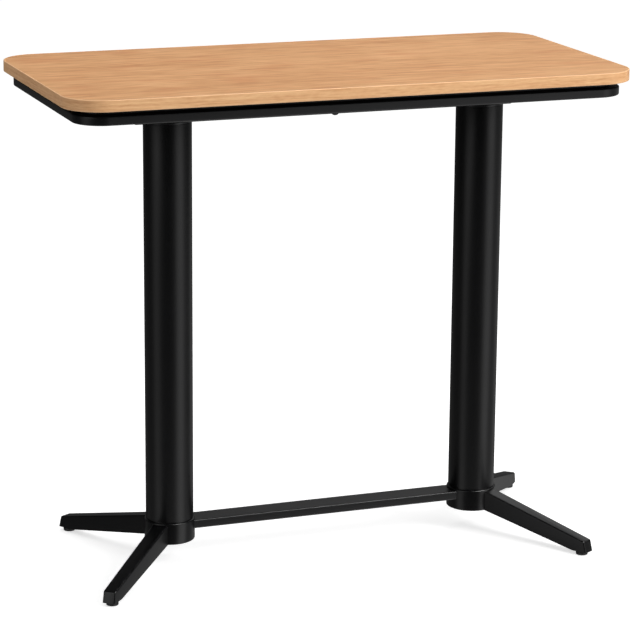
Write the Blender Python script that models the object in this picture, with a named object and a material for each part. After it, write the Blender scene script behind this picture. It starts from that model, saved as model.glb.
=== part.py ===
"""Bar table: a veneered top on a tube frame, a beam, two round columns and two cast feet.

Metres, +Z up. The origin is on the floor under the middle of the top. The long side lies along X.
The columns and feet stand a little to the right of the top's middle, and each foot is turned a
little about its column.
"""

import math

import bmesh
import bpy
from mathutils import Matrix, Vector

# Overall sizes
TABLE_HEIGHT = 1.040
TOP_LENGTH = 1.200
TOP_WIDTH = 0.600
TOP_THICKNESS = 0.023
TOP_CORNER_RADIUS = 0.080
COLUMN_SPACING = 0.690
BASE_SHIFT = 0.026

# Gap left between two pieces that touch
SEAT_GAP = 0.0003

# Points nearer than this become one
WELD_DISTANCE = 0.00002

# Edge band round the board
EDGE_BAND_THICKNESS = 0.002
EDGE_BAND_ARRIS = 0.0015

# Perimeter frame of square tube under the board
FRAME_INSET = 0.020
FRAME_TUBE = 0.030
FRAME_WALL = 0.002
FRAME_EDGE_RADIUS = 0.009
CROSS_BAR_SETBACK = 0.0005
FRAME_SCREW_OFFSET = 0.056

# Hat-section beam under the cross bars
BEAM_WIDTH = 0.110
BEAM_DEPTH = 0.0445
BEAM_WALL = 0.003
BEAM_FLANGE = 0.025
BEAM_BEND_RADIUS = 0.006
BEAM_OVERHANG = 0.021
BEAM_OFFSET = -0.017
BEAM_END_BEVEL = 0.006
BEAM_CAP_DEPTH = 0.012

# Columns and the caps that centre their top ends
COLUMN_RADIUS = 0.050
COLUMN_WALL = 0.003
COLUMN_CAP_FLANGE = 0.004
SPIGOT_LENGTH = 0.014
SPIGOT_WALL = 0.006
SPIGOT_CHAMFER = 0.001

# Cast feet: hub
HUB_RADIUS = 0.053
HUB_BOTTOM = 0.0485
HUB_HEIGHT = 0.046
HUB_CHAMFER = 0.0015
HUB_WALL = 0.009
HUB_SEAT_RISE = 0.002
HUB_SEAT_SETBACK = 0.001
HUB_FLAT = 0.005

# Cast feet: legs, measured outwards from the column's axis
LEG_SPLAY = math.radians(54.6)
FOOT_TURN = math.radians(5.0)
LEG_ROOT_HALF_WIDTH = 0.017
LEG_TIP_HALF_WIDTH = 0.014
LEG_ROOT_DROP = 0.004
LEG_TIP_DEPTH = 0.024
LEG_END_RAKE = 0.006
LEG_EDGE_RADIUS = 0.0024
LEG_WEB = 0.007
LEG_WALL = 0.005
GLIDE_DISTANCE = 0.295
GLIDE_TO_END = 0.019

# Levelling glides
GLIDE_PAD_RADIUS = 0.0125
GLIDE_PAD_HEIGHT = 0.0077
GLIDE_PAD_FLOOR = 0.0018
GLIDE_PAD_LIP = 0.0017
GLIDE_DISC_RADIUS = 0.0063
GLIDE_STUD_RADIUS = 0.004
GLIDE_STUD_REACH = 0.017
GLIDE_BORE_END = 0.001

# Stretcher rail of flat tube
RAIL_WIDTH = 0.056
RAIL_DEPTH = 0.019
RAIL_WALL = 0.002
RAIL_EDGE_RADIUS = 0.0025
RAIL_DROP = 0.0045
RAIL_PLUG_LENGTH = 0.040
RAIL_BOLT_DROP = 0.0025
RAIL_BOLT_LENGTH = 0.034

# Tie rods with their nuts and washers
ROD_RADIUS = 0.006
ROD_END = 0.005
ROD_NUT_ACROSS = 0.019
ROD_NUT_HEIGHT = 0.010
ROD_WASHER_RADIUS = 0.017
ROD_WASHER_THICKNESS = 0.003

# Bolts, screws and inserts
BOLT_RADIUS = 0.004
BOLT_HEAD_RADIUS = 0.0065
BOLT_HEAD_HEIGHT = 0.008
BEAM_BOLT_LENGTH = 0.012
TOP_BOLT_RADIUS = 0.003
TOP_BOLT_HEAD_RADIUS = 0.006
TOP_BOLT_HEAD_HEIGHT = 0.004
TOP_BOLT_SPACING = 0.340
INSERT_LENGTH = 0.014
INSERT_WALL = 0.0022
FRAME_SCREW_RADIUS = 0.00225
FRAME_SCREW_HEAD_RADIUS = 0.0078
FRAME_SCREW_HEAD_HEIGHT = 0.0062
FRAME_SCREW_BITE = 0.012
HOLE_CLEARANCE = 0.0003
BORE_END = 0.001

# Facets
CORNER_STEPS = 10
FRAME_CORNER_STEPS = 5
BEND_STEPS = 3
EDGE_STEPS = 3
HOLLOW_STEPS = 1
COLUMN_STEPS = 40
SMALL_STEPS = 20
SCREW_STEPS = 12

# Places that follow from the sizes above
UNDERSIDE = TABLE_HEIGHT - TOP_THICKNESS
FRAME_TOP = UNDERSIDE - SEAT_GAP
FRAME_BOTTOM = FRAME_TOP - FRAME_TUBE
BAR_TOP = FRAME_TOP - CROSS_BAR_SETBACK
BAR_BOTTOM = FRAME_BOTTOM + CROSS_BAR_SETBACK
BEAM_TOP = BAR_BOTTOM - SEAT_GAP
BEAM_BOTTOM = BEAM_TOP - BEAM_DEPTH
COLUMN_CAP_TOP = BEAM_BOTTOM - SEAT_GAP
COLUMN_TOP = COLUMN_CAP_TOP - COLUMN_CAP_FLANGE - SEAT_GAP
HUB_TOP = HUB_BOTTOM + HUB_HEIGHT
HUB_SEAT = HUB_TOP + HUB_SEAT_RISE
COLUMN_BOTTOM = HUB_SEAT + SEAT_GAP
COLUMN_BORE = COLUMN_RADIUS - COLUMN_WALL
SPIGOT_RADIUS = COLUMN_BORE - SEAT_GAP
RAIL_Z = HUB_TOP - RAIL_DROP - RAIL_DEPTH / 2
RAIL_BOLT_Z = RAIL_Z - RAIL_BOLT_DROP
HUB_CAVITY_TOP = RAIL_BOLT_Z + BOLT_HEAD_RADIUS + SEAT_GAP
HUB_CAVITY_RADIUS = HUB_RADIUS - HUB_WALL
HUB_FLAT_X = HUB_CAVITY_RADIUS - HUB_FLAT
LEG_TIP_BOTTOM = GLIDE_PAD_HEIGHT + SEAT_GAP
LEG_END = GLIDE_DISTANCE + GLIDE_TO_END
GLIDE_SEAT_START = GLIDE_DISTANCE - GLIDE_PAD_RADIUS - GLIDE_TO_END / 5
ROD_HOLE = ROD_RADIUS + HOLE_CLEARANCE
BEAM_LENGTH = COLUMN_SPACING + 2 * (COLUMN_RADIUS + BEAM_OVERHANG)
BEAM_MIDDLE = BASE_SHIFT + BEAM_OFFSET
FRAME_SCREW_Y = TOP_WIDTH / 2 - FRAME_INSET - FRAME_TUBE / 2
BEAM_BOLT_Y = (BEAM_WIDTH + BEAM_FLANGE) / 2


def clear_scene():
    """Removes every object of the open scene."""
    for item in list(bpy.data.objects):
        bpy.data.objects.remove(item, do_unlink=True)


def make_material(name, colour, roughness, metallic=0.0):
    """Returns a Principled material; the colour is linear RGB."""
    material = bpy.data.materials.new(name)
    material.use_nodes = True
    shader = material.node_tree.nodes["Principled BSDF"]
    shader.inputs["Base Color"].default_value = (*colour, 1.0)
    shader.inputs["Roughness"].default_value = roughness
    shader.inputs["Metallic"].default_value = metallic
    material.diffuse_color = (*colour, 1.0)
    return material


def arc(centre_x, centre_y, radius, start, end, steps):
    """Points on an arc, both ends included; the angles are in degrees."""
    points = []
    for step in range(steps + 1):
        angle = math.radians(start + (end - start) * step / steps)
        points.append((centre_x + radius * math.cos(angle), centre_y + radius * math.sin(angle)))
    return points


def rounded_rectangle(length, width, radius, steps):
    """Outline of a rectangle with round corners, anticlockwise."""
    reach_x = length / 2 - radius
    reach_y = width / 2 - radius
    outline = []
    for sign_x, sign_y, start in ((1, 1, 0), (-1, 1, 90), (-1, -1, 180), (1, -1, 270)):
        outline += arc(sign_x * reach_x, sign_y * reach_y, radius, start, start + 90, steps)
    return outline


def top_outline(inset, steps):
    """Outline of the top, set in all round by an amount."""
    return rounded_rectangle(
        TOP_LENGTH - 2 * inset, TOP_WIDTH - 2 * inset, TOP_CORNER_RADIUS - inset, steps
    )


def circle(radius, steps):
    """Outline of a circle."""
    return arc(0.0, 0.0, radius, 0.0, 360.0, steps)[:-1]


def loft(rings, closed=False):
    """Joins rings of equally many points: closed on itself, or capped at both ends."""
    mesh = bmesh.new()
    loops = [[mesh.verts.new(point) for point in ring] for ring in rings]
    pairs = list(zip(loops, loops[1:]))
    if closed:
        pairs.append((loops[-1], loops[0]))
    for lower, upper in pairs:
        count = len(lower)
        for i in range(count):
            j = (i + 1) % count
            mesh.faces.new((lower[i], lower[j], upper[j], upper[i]))
    if not closed:
        mesh.faces.new(loops[0])
        mesh.faces.new(loops[-1])
    bmesh.ops.recalc_face_normals(mesh, faces=mesh.faces)
    return mesh


def prism(outline, bottom, top):
    """Extrudes a flat outline upwards."""
    return loft([[(x, y, z) for x, y in outline] for z in (bottom, top)])


def box(low, high):
    """A plain block between two corners."""
    outline = [(low[0], low[1]), (high[0], low[1]), (high[0], high[1]), (low[0], high[1])]
    return prism(outline, low[2], high[2])


def turned(profile, steps, bored=False):
    """Turns a profile of (radius, height) points about Z; a bored one closes on itself."""
    rings = [[(x, y, height) for x, y in circle(radius, steps)] for radius, height in profile]
    return loft(rings, closed=bored)


def cylinder(radius, bottom, top, steps, place=(0.0, 0.0)):
    """A round bar along Z."""
    mesh = prism(circle(radius, steps), bottom, top)
    bmesh.ops.translate(mesh, vec=Vector((place[0], place[1], 0.0)), verts=mesh.verts)
    return mesh


def section_ring(section, outline_at):
    """Runs a section of (inset, height) points round an outline that takes the inset."""
    return loft([[(x, y, z) for x, y in outline_at(inset)] for inset, z in section], closed=True)


def make_object(name, mesh, material=None, angle=35.0):
    """Turns a bmesh into an object, shaded smooth apart from its sharp edges."""
    data = bpy.data.meshes.new(name)
    mesh.to_mesh(data)
    mesh.free()
    item = bpy.data.objects.new(name, data)
    bpy.context.scene.collection.objects.link(item)
    if material:
        finish(item, material, angle)
    return item


def finish(item, material, angle=35.0):
    """Gives an object its material and its smooth shading."""
    item.data.materials.clear()
    item.data.materials.append(material)
    item.data.shade_smooth()
    item.data.set_sharp_from_angle(angle=math.radians(angle))


def merged(meshes):
    """Puts several separate meshes into one, for use as one cutter."""
    whole = bmesh.new()
    for mesh in meshes:
        data = bpy.data.meshes.new("loose_part")
        mesh.to_mesh(data)
        mesh.free()
        whole.from_mesh(data)
        bpy.data.meshes.remove(data)
    return whole


def combine(item, meshes, operation):
    """Joins meshes to an object or cuts them out of it."""
    tool = make_object("boolean_tool", merged(meshes))
    modifier = item.modifiers.new("boolean", "BOOLEAN")
    modifier.operation = operation
    modifier.solver = "EXACT"
    modifier.object = tool
    bpy.context.view_layer.update()
    evaluated = item.evaluated_get(bpy.context.evaluated_depsgraph_get())
    data = bpy.data.meshes.new_from_object(evaluated)
    item.modifiers.clear()
    mesh = bmesh.new()
    mesh.from_mesh(data)
    bmesh.ops.remove_doubles(mesh, verts=mesh.verts, dist=WELD_DISTANCE)
    bmesh.ops.dissolve_degenerate(mesh, edges=mesh.edges, dist=WELD_DISTANCE)
    mesh.to_mesh(data)
    mesh.free()
    old_data = item.data
    item.data = data
    data.name = item.name
    bpy.data.meshes.remove(old_data)
    bpy.data.objects.remove(tool, do_unlink=True)


def cut(item, meshes):
    """Cuts meshes out of an object."""
    combine(item, meshes, "DIFFERENCE")


def join(item, mesh):
    """Joins one mesh to an object."""
    combine(item, [mesh], "UNION")


def sides():
    """The two columns: name, sign along X and the X of the axis."""
    half = COLUMN_SPACING / 2
    return (("left", -1, BASE_SHIFT - half), ("right", 1, BASE_SHIFT + half))


def ends():
    """Front and back: name and sign along Y."""
    return (("front", -1), ("back", 1))


def build_top(wood, band):
    """The board with its bores, and the band round its edge."""
    board = make_object(
        "table_top",
        prism(top_outline(EDGE_BAND_THICKNESS + SEAT_GAP, CORNER_STEPS), UNDERSIDE, TABLE_HEIGHT),
    )
    bores = []
    insert_radius = TOP_BOLT_RADIUS + HOLE_CLEARANCE + INSERT_WALL + HOLE_CLEARANCE
    for _, _, x in sides():
        for _, end in ends():
            bores.append(
                cylinder(
                    insert_radius,
                    UNDERSIDE - TOP_THICKNESS,
                    UNDERSIDE + SEAT_GAP + INSERT_LENGTH + BORE_END,
                    SCREW_STEPS,
                    (x, end * TOP_BOLT_SPACING / 2),
                )
            )
    for _, end in ends():
        bores.append(
            cylinder(
                FRAME_SCREW_RADIUS + HOLE_CLEARANCE,
                UNDERSIDE - TOP_THICKNESS,
                UNDERSIDE + FRAME_SCREW_BITE + BORE_END,
                SCREW_STEPS,
                (end * FRAME_SCREW_OFFSET, end * FRAME_SCREW_Y),
            )
        )
    cut(board, bores)
    finish(board, wood)

    arris = EDGE_BAND_ARRIS
    lower = arc(arris, UNDERSIDE + arris, arris, 270, 180, BEND_STEPS)
    upper = arc(arris, TABLE_HEIGHT - arris, arris, 180, 90, BEND_STEPS)
    section = lower + upper + [(EDGE_BAND_THICKNESS, TABLE_HEIGHT), (EDGE_BAND_THICKNESS, UNDERSIDE)]
    ring = section_ring(section, lambda inset: top_outline(inset, CORNER_STEPS))
    make_object("edge_band", ring, band)


def build_frame(black):
    """The welded tube frame: a ring with rounded corners and a cross bar over each column."""

    def frame_outline(inset):
        return top_outline(FRAME_INSET + inset, FRAME_CORNER_STEPS)

    middle = FRAME_TUBE / 2
    section = [
        (middle + across, FRAME_BOTTOM + middle + up)
        for across, up in rounded_rectangle(FRAME_TUBE, FRAME_TUBE, FRAME_EDGE_RADIUS, EDGE_STEPS)
    ]
    frame = make_object("under_frame", section_ring(section, frame_outline))

    bar_reach = TOP_WIDTH / 2 - FRAME_INSET - middle
    for _, _, x in sides():
        join(frame, box((x - middle, -bar_reach, BAR_BOTTOM), (x + middle, bar_reach, BAR_TOP)))

    wall = FRAME_WALL
    hollow_side = FRAME_TUBE - 2 * wall
    hollow = [
        (middle + across, FRAME_BOTTOM + middle + up)
        for across, up in rounded_rectangle(
            hollow_side, hollow_side, FRAME_EDGE_RADIUS - wall, HOLLOW_STEPS
        )
    ]
    cutters = [section_ring(hollow, frame_outline)]
    bar_hollow = TOP_WIDTH / 2 - FRAME_INSET - FRAME_TUBE - wall
    for _, _, x in sides():
        cutters.append(
            box(
                (x - middle + wall, -bar_hollow, BAR_BOTTOM + wall),
                (x + middle - wall, bar_hollow, BAR_TOP - wall),
            )
        )
    cut(frame, cutters)

    below = FRAME_BOTTOM - FRAME_TUBE
    above = FRAME_TOP + FRAME_TUBE
    holes = []
    for _, end in ends():
        place = (end * FRAME_SCREW_OFFSET, end * FRAME_SCREW_Y)
        holes.append(
            cylinder(FRAME_SCREW_RADIUS + HOLE_CLEARANCE, below, above, SCREW_STEPS, place)
        )
        for _, _, x in sides():
            bolt_place = (x, end * TOP_BOLT_SPACING / 2)
            holes.append(
                cylinder(TOP_BOLT_RADIUS + HOLE_CLEARANCE, below, above, SCREW_STEPS, bolt_place)
            )
            beam_place = (x, end * BEAM_BOLT_Y)
            holes.append(
                cylinder(
                    BOLT_RADIUS + HOLE_CLEARANCE,
                    below,
                    BAR_BOTTOM + FRAME_TUBE / 2,
                    SCREW_STEPS,
                    beam_place,
                )
            )
    cut(frame, holes)
    finish(frame, black)


def screw(name, head, shank_radius, length, material, steps=SCREW_STEPS):
    """A fastener standing on its head: the head hangs below z = 0 and the shank stands above it."""
    profile = head + [(shank_radius, 0.0), (shank_radius, length)]
    return make_object(name, turned(profile, steps), material)


def cap_head(radius, height):
    """Profile of a cylinder head with a small chamfer, under z = 0."""
    chamfer = height / 8
    return [(radius - chamfer, -height), (radius, chamfer - height), (radius, 0.0)]


def dome_head(radius, height):
    """Profile of a domed head under z = 0."""
    points = []
    for angle in (75, 50, 25, 0):
        turn = math.radians(angle)
        points.append((radius * math.cos(turn), -height * math.sin(turn)))
    return points


def build_frame_fasteners(black, zinc, brass):
    """Domed frame screws, and the bolts and inserts that hold the frame to the board."""
    for end_name, end in ends():
        head = dome_head(FRAME_SCREW_HEAD_RADIUS, FRAME_SCREW_HEAD_HEIGHT)
        length = UNDERSIDE + FRAME_SCREW_BITE - FRAME_BOTTOM + SEAT_GAP
        item = screw(f"frame_screw_{end_name}", head, FRAME_SCREW_RADIUS, length, black)
        item.location = (end * FRAME_SCREW_OFFSET, end * FRAME_SCREW_Y, FRAME_BOTTOM - SEAT_GAP)

    insert_bore = TOP_BOLT_RADIUS + HOLE_CLEARANCE
    insert_radius = insert_bore + INSERT_WALL
    for side_name, _, x in sides():
        for end_name, end in ends():
            place = (x, end * TOP_BOLT_SPACING / 2)
            head = cap_head(TOP_BOLT_HEAD_RADIUS, TOP_BOLT_HEAD_HEIGHT)
            length = UNDERSIDE + INSERT_LENGTH - BAR_BOTTOM
            name = f"top_bolt_{side_name}_{end_name}"
            item = screw(name, head, TOP_BOLT_RADIUS, length, zinc)
            item.location = (*place, BAR_BOTTOM - SEAT_GAP)
            sleeve = turned(
                [
                    (insert_bore, 0.0),
                    (insert_radius, 0.0),
                    (insert_radius, INSERT_LENGTH),
                    (insert_bore, INSERT_LENGTH),
                ],
                SCREW_STEPS,
                bored=True,
            )
            insert = make_object(f"insert_{side_name}_{end_name}", sleeve, brass)
            insert.location = (*place, UNDERSIDE + SEAT_GAP)


def hat_section():
    """Outline of the beam's section as (y, z) points."""
    half = BEAM_WIDTH / 2
    tip = half + BEAM_FLANGE
    bend = BEAM_BEND_RADIUS
    inner_bend = bend - BEAM_WALL
    under_flange = BEAM_TOP - BEAM_WALL
    floor = BEAM_BOTTOM + BEAM_WALL
    outer = [(-tip, BEAM_TOP), (-tip, under_flange), (-half, under_flange)]
    outer += arc(bend - half, BEAM_BOTTOM + bend, bend, 180, 270, BEND_STEPS)
    outer += arc(half - bend, BEAM_BOTTOM + bend, bend, 270, 360, BEND_STEPS)
    outer += [(half, under_flange), (tip, under_flange), (tip, BEAM_TOP)]
    inner = [(half - BEAM_WALL, BEAM_TOP)]
    inner += arc(half - bend, floor + inner_bend, inner_bend, 360, 270, BEND_STEPS)
    inner += arc(bend - half, floor + inner_bend, inner_bend, 270, 180, BEND_STEPS)
    inner += [(BEAM_WALL - half, BEAM_TOP)]
    return outer + inner


def end_bevel(x, side):
    """Wedge that takes the lower corner off the beam's end at x."""
    middle = x + side * BEAM_END_BEVEL
    low = BEAM_BOTTOM - BEAM_END_BEVEL
    wedge = [(x - 2 * side * BEAM_END_BEVEL, low), (middle, low), (middle, low + 3 * BEAM_END_BEVEL)]
    return loft([[(across, y, up) for across, up in wedge] for y in (-BEAM_WIDTH, BEAM_WIDTH)])


def build_beam(black, plastic, zinc):
    """The beam with its holes, its end caps and the bolts up into the cross bars."""
    section = hat_section()
    reach = BEAM_LENGTH / 2
    beam_ends = (BEAM_MIDDLE - reach, BEAM_MIDDLE + reach)
    beam = make_object("beam", loft([[(x, y, z) for y, z in section] for x in beam_ends]))
    cut(beam, [end_bevel(BEAM_MIDDLE + side * reach, side) for _, side, _ in sides()])
    holes = []
    for _, _, x in sides():
        floor_middle = BEAM_BOTTOM + BEAM_WALL / 2
        holes.append(
            cylinder(ROD_HOLE, floor_middle - BEAM_WALL, floor_middle + BEAM_WALL, SMALL_STEPS, (x, 0.0))
        )
        for _, end in ends():
            holes.append(
                cylinder(
                    BOLT_RADIUS + HOLE_CLEARANCE,
                    BEAM_TOP - 2 * BEAM_WALL,
                    BEAM_TOP + BEAM_WALL,
                    SCREW_STEPS,
                    (x, end * BEAM_BOLT_Y),
                )
            )
    cut(beam, holes)
    finish(beam, black)

    half = BEAM_WIDTH / 2 - BEAM_WALL - SEAT_GAP
    low = BEAM_BOTTOM + BEAM_WALL + SEAT_GAP
    corner = BEAM_BEND_RADIUS - BEAM_WALL
    outline = [(-half, BEAM_TOP)]
    outline += arc(corner - half, low + corner, corner, 180, 270, BEND_STEPS)
    outline += arc(half - corner, low + corner, corner, 270, 360, BEND_STEPS)
    outline += [(half, BEAM_TOP)]
    for side_name, side, x in sides():
        outer = BEAM_MIDDLE + side * (reach - BEAM_END_BEVEL)
        faces = sorted((outer, outer - side * BEAM_CAP_DEPTH))
        mesh = loft([[(face, y, z) for y, z in outline] for face in faces])
        make_object(f"beam_end_cap_{side_name}", mesh, plastic)
        for end_name, end in ends():
            head = cap_head(BOLT_HEAD_RADIUS, BOLT_HEAD_HEIGHT)
            name = f"beam_bolt_{side_name}_{end_name}"
            item = screw(name, head, BOLT_RADIUS, BEAM_BOLT_LENGTH, zinc)
            item.location = (x, end * BEAM_BOLT_Y, BEAM_TOP - BEAM_WALL - SEAT_GAP)


def build_columns(black, iron):
    """The two tubes and the caps that centre their top ends under the beam."""
    tube = turned(
        [
            (COLUMN_BORE, COLUMN_BOTTOM),
            (COLUMN_RADIUS, COLUMN_BOTTOM),
            (COLUMN_RADIUS, COLUMN_TOP),
            (COLUMN_BORE, COLUMN_TOP),
        ],
        COLUMN_STEPS,
        bored=True,
    )
    first = make_object("column_left", tube, black)
    flange_bottom = COLUMN_CAP_TOP - COLUMN_CAP_FLANGE
    spigot_end = flange_bottom - SPIGOT_LENGTH
    spigot_bore = SPIGOT_RADIUS - SPIGOT_WALL
    cap = turned(
        [
            (ROD_HOLE, COLUMN_CAP_TOP),
            (COLUMN_RADIUS, COLUMN_CAP_TOP),
            (COLUMN_RADIUS, flange_bottom),
            (SPIGOT_RADIUS, flange_bottom),
            (SPIGOT_RADIUS, spigot_end + SPIGOT_CHAMFER),
            (SPIGOT_RADIUS - SPIGOT_CHAMFER, spigot_end),
            (spigot_bore, spigot_end),
            (spigot_bore, flange_bottom),
            (ROD_HOLE, flange_bottom),
        ],
        COLUMN_STEPS,
        bored=True,
    )
    first_cap = make_object("column_cap_left", cap, iron)
    (_, _, left_x), (_, _, right_x) = sides()
    for name, original in (("column_right", first), ("column_cap_right", first_cap)):
        twin = bpy.data.objects.new(name, original.data)
        bpy.context.scene.collection.objects.link(twin)
        twin.location.x = right_x
        original.location.x = left_x


def leg_azimuth(side, end):
    """Direction of one leg seen from above; the feet are half a turn apart."""
    outboard = 0.0 if side > 0 else math.pi
    return outboard + side * end * LEG_SPLAY - FOOT_TURN


def glide_place(side, end):
    """Where a glide stands, measured from its column's axis."""
    azimuth = leg_azimuth(side, end)
    return (GLIDE_DISTANCE * math.cos(azimuth), GLIDE_DISTANCE * math.sin(azimuth))


def leg_line(start, end, distance):
    """Height on a straight line between two (distance, height) points."""
    share = (distance - start[0]) / (end[0] - start[0])
    return start[1] + (end[1] - start[1]) * share


def leg_top(distance):
    """Height of a leg's top edge at a distance from the column's axis."""
    root = (HUB_RADIUS, HUB_TOP - LEG_ROOT_DROP)
    tip = (LEG_END - LEG_END_RAKE, LEG_TIP_BOTTOM + LEG_TIP_DEPTH)
    return leg_line(root, tip, distance)


def leg_bottom(distance):
    """Height of a leg's lower edge, which runs level over the glide."""
    if distance > GLIDE_SEAT_START:
        return LEG_TIP_BOTTOM
    return leg_line((HUB_RADIUS, HUB_BOTTOM), (GLIDE_SEAT_START, LEG_TIP_BOTTOM), distance)


def leg_half_width(distance):
    """Half the width of a leg, which tapers from root to tip."""
    return leg_line((HUB_RADIUS, LEG_ROOT_HALF_WIDTH), (LEG_END, LEG_TIP_HALF_WIDTH), distance)


def wedge(side_view, width_less):
    """Extrudes a side view of (distance, height) points to the leg's tapering width."""
    rings = []
    for sign in (-1, 1):
        rings.append([(s, sign * (leg_half_width(s) - width_less), z) for s, z in side_view])
    return loft(rings)


def turn_about_z(mesh, angle):
    """Turns a mesh about Z."""
    bmesh.ops.rotate(mesh, cent=Vector(), matrix=Matrix.Rotation(angle, 3, "Z"), verts=mesh.verts)
    return mesh


def leg_solid():
    """One leg along +X: tapered, raked at its end, with rounded long edges and end."""
    start = HUB_RADIUS - HUB_WALL - LEG_ROOT_DROP
    side_view = [
        (start, leg_top(start)),
        (LEG_END - LEG_END_RAKE, leg_top(LEG_END - LEG_END_RAKE)),
        (LEG_END, leg_bottom(LEG_END)),
        (GLIDE_SEAT_START, leg_bottom(GLIDE_SEAT_START)),
        (start, leg_bottom(start)),
    ]
    mesh = wedge(side_view, 0.0)
    rounded = []
    for edge in mesh.edges:
        low_s = min(vert.co.x for vert in edge.verts)
        both_at_end = low_s > GLIDE_DISTANCE
        spans = abs(edge.verts[0].co.x - edge.verts[1].co.x) > GLIDE_TO_END
        on_top = all(vert.co.z > leg_top(vert.co.x) - SEAT_GAP for vert in edge.verts)
        if both_at_end and not all(vert.co.x > LEG_END - SEAT_GAP for vert in edge.verts):
            rounded.append(edge)
        elif spans and on_top:
            rounded.append(edge)
    bmesh.ops.bevel(
        mesh,
        geom=rounded,
        offset=LEG_EDGE_RADIUS,
        segments=3,
        profile=0.5,
        affect="EDGES",
        clamp_overlap=True,
    )
    return mesh


def leg_hollow():
    """The open underside of one leg, between the hub's wall and the glide's boss."""
    start = HUB_RADIUS + LEG_WALL
    end = GLIDE_SEAT_START - LEG_WALL
    side_view = [
        (start, leg_top(start) - LEG_WEB),
        (end, leg_top(end) - LEG_WEB),
        (end, leg_bottom(end) - LEG_WEB),
        (start, leg_bottom(start) - LEG_WEB),
    ]
    return wedge(side_view, LEG_WALL)


def hub_cavity():
    """The hub's open underside, with a flat on the rail's side for the bolt head."""
    outline = [(max(x, -HUB_FLAT_X), y) for x, y in circle(HUB_CAVITY_RADIUS, COLUMN_STEPS)]
    return prism(outline, HUB_BOTTOM - HUB_WALL, HUB_CAVITY_TOP)


def along_x(mesh):
    """Lays a mesh that stands along Z down along X."""
    bmesh.ops.rotate(mesh, cent=Vector(), matrix=Matrix.Rotation(math.pi / 2, 3, "Y"), verts=mesh.verts)
    return mesh


def build_feet(iron):
    """The two cast feet; each is the other turned half round."""
    seat_radius = COLUMN_RADIUS - HUB_SEAT_SETBACK
    spigot_bore = SPIGOT_RADIUS - SPIGOT_WALL
    spigot_end = HUB_SEAT + SPIGOT_LENGTH
    hub = turned(
        [
            (ROD_HOLE, HUB_BOTTOM),
            (HUB_RADIUS - HUB_CHAMFER, HUB_BOTTOM),
            (HUB_RADIUS, HUB_BOTTOM + HUB_CHAMFER),
            (HUB_RADIUS, HUB_TOP - HUB_CHAMFER),
            (HUB_RADIUS - HUB_CHAMFER, HUB_TOP),
            (seat_radius, HUB_TOP),
            (seat_radius, HUB_SEAT),
            (SPIGOT_RADIUS, HUB_SEAT),
            (SPIGOT_RADIUS, spigot_end - SPIGOT_CHAMFER),
            (SPIGOT_RADIUS - SPIGOT_CHAMFER, spigot_end),
            (spigot_bore, spigot_end),
            (spigot_bore, HUB_SEAT),
            (ROD_HOLE, HUB_SEAT),
        ],
        COLUMN_STEPS,
        bored=True,
    )
    foot = make_object("foot_right", hub)
    azimuths = [leg_azimuth(1, end) for _, end in ends()]
    for azimuth in azimuths:
        join(foot, turn_about_z(leg_solid(), azimuth))
    bolt_hole = along_x(cylinder(BOLT_RADIUS + HOLE_CLEARANCE, -HUB_RADIUS - HUB_WALL, 0.0, SCREW_STEPS))
    bmesh.ops.translate(bolt_hole, vec=Vector((0.0, 0.0, RAIL_BOLT_Z)), verts=bolt_hole.verts)
    cut(foot, [hub_cavity()])
    cut(foot, [turn_about_z(leg_hollow(), azimuth) for azimuth in azimuths])
    bores = [bolt_hole]
    bore_top = LEG_TIP_BOTTOM + GLIDE_STUD_REACH + GLIDE_BORE_END
    for _, end in ends():
        bore_radius = GLIDE_STUD_RADIUS + HOLE_CLEARANCE
        bores.append(
            cylinder(bore_radius, -LEG_TIP_BOTTOM, bore_top, SMALL_STEPS, glide_place(1, end))
        )
    cut(foot, bores)
    finish(foot, iron)
    (_, _, left_x), (_, _, right_x) = sides()
    foot.location.x = right_x
    twin = bpy.data.objects.new("foot_left", foot.data)
    bpy.context.scene.collection.objects.link(twin)
    twin.location.x = left_x
    twin.rotation_euler.z = math.pi


def build_glides(nylon, zinc):
    """Four pads, each turning on the disc of its threaded stud."""
    neck = GLIDE_STUD_RADIUS + HOLE_CLEARANCE
    pocket = GLIDE_DISC_RADIUS + HOLE_CLEARANCE
    shoulder = GLIDE_PAD_HEIGHT - GLIDE_PAD_LIP
    chamfer = GLIDE_PAD_FLOOR / 3
    pad_profile = [
        (GLIDE_PAD_RADIUS - chamfer, 0.0),
        (GLIDE_PAD_RADIUS, chamfer),
        (GLIDE_PAD_RADIUS, shoulder - GLIDE_PAD_LIP),
        (GLIDE_PAD_RADIUS - GLIDE_PAD_LIP, GLIDE_PAD_HEIGHT),
        (neck, GLIDE_PAD_HEIGHT),
        (neck, shoulder),
        (pocket, shoulder),
        (pocket, GLIDE_PAD_FLOOR),
    ]
    stud_end = LEG_TIP_BOTTOM + GLIDE_STUD_REACH
    stud_profile = [
        (GLIDE_DISC_RADIUS, GLIDE_PAD_FLOOR + SEAT_GAP),
        (GLIDE_DISC_RADIUS, shoulder - SEAT_GAP),
        (GLIDE_STUD_RADIUS, shoulder - SEAT_GAP),
        (GLIDE_STUD_RADIUS, stud_end - chamfer),
        (GLIDE_STUD_RADIUS - chamfer, stud_end),
    ]
    for side_name, side, x in sides():
        for end_name, end in ends():
            across, along = glide_place(side, end)
            place = (x + across, along, 0.0)
            name = f"{side_name}_{end_name}"
            pad = make_object(f"glide_pad_{name}", turned(pad_profile, SMALL_STEPS), nylon)
            pad.location = place
            stud = make_object(f"glide_stud_{name}", turned(stud_profile, SMALL_STEPS), zinc)
            stud.location = place


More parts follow.
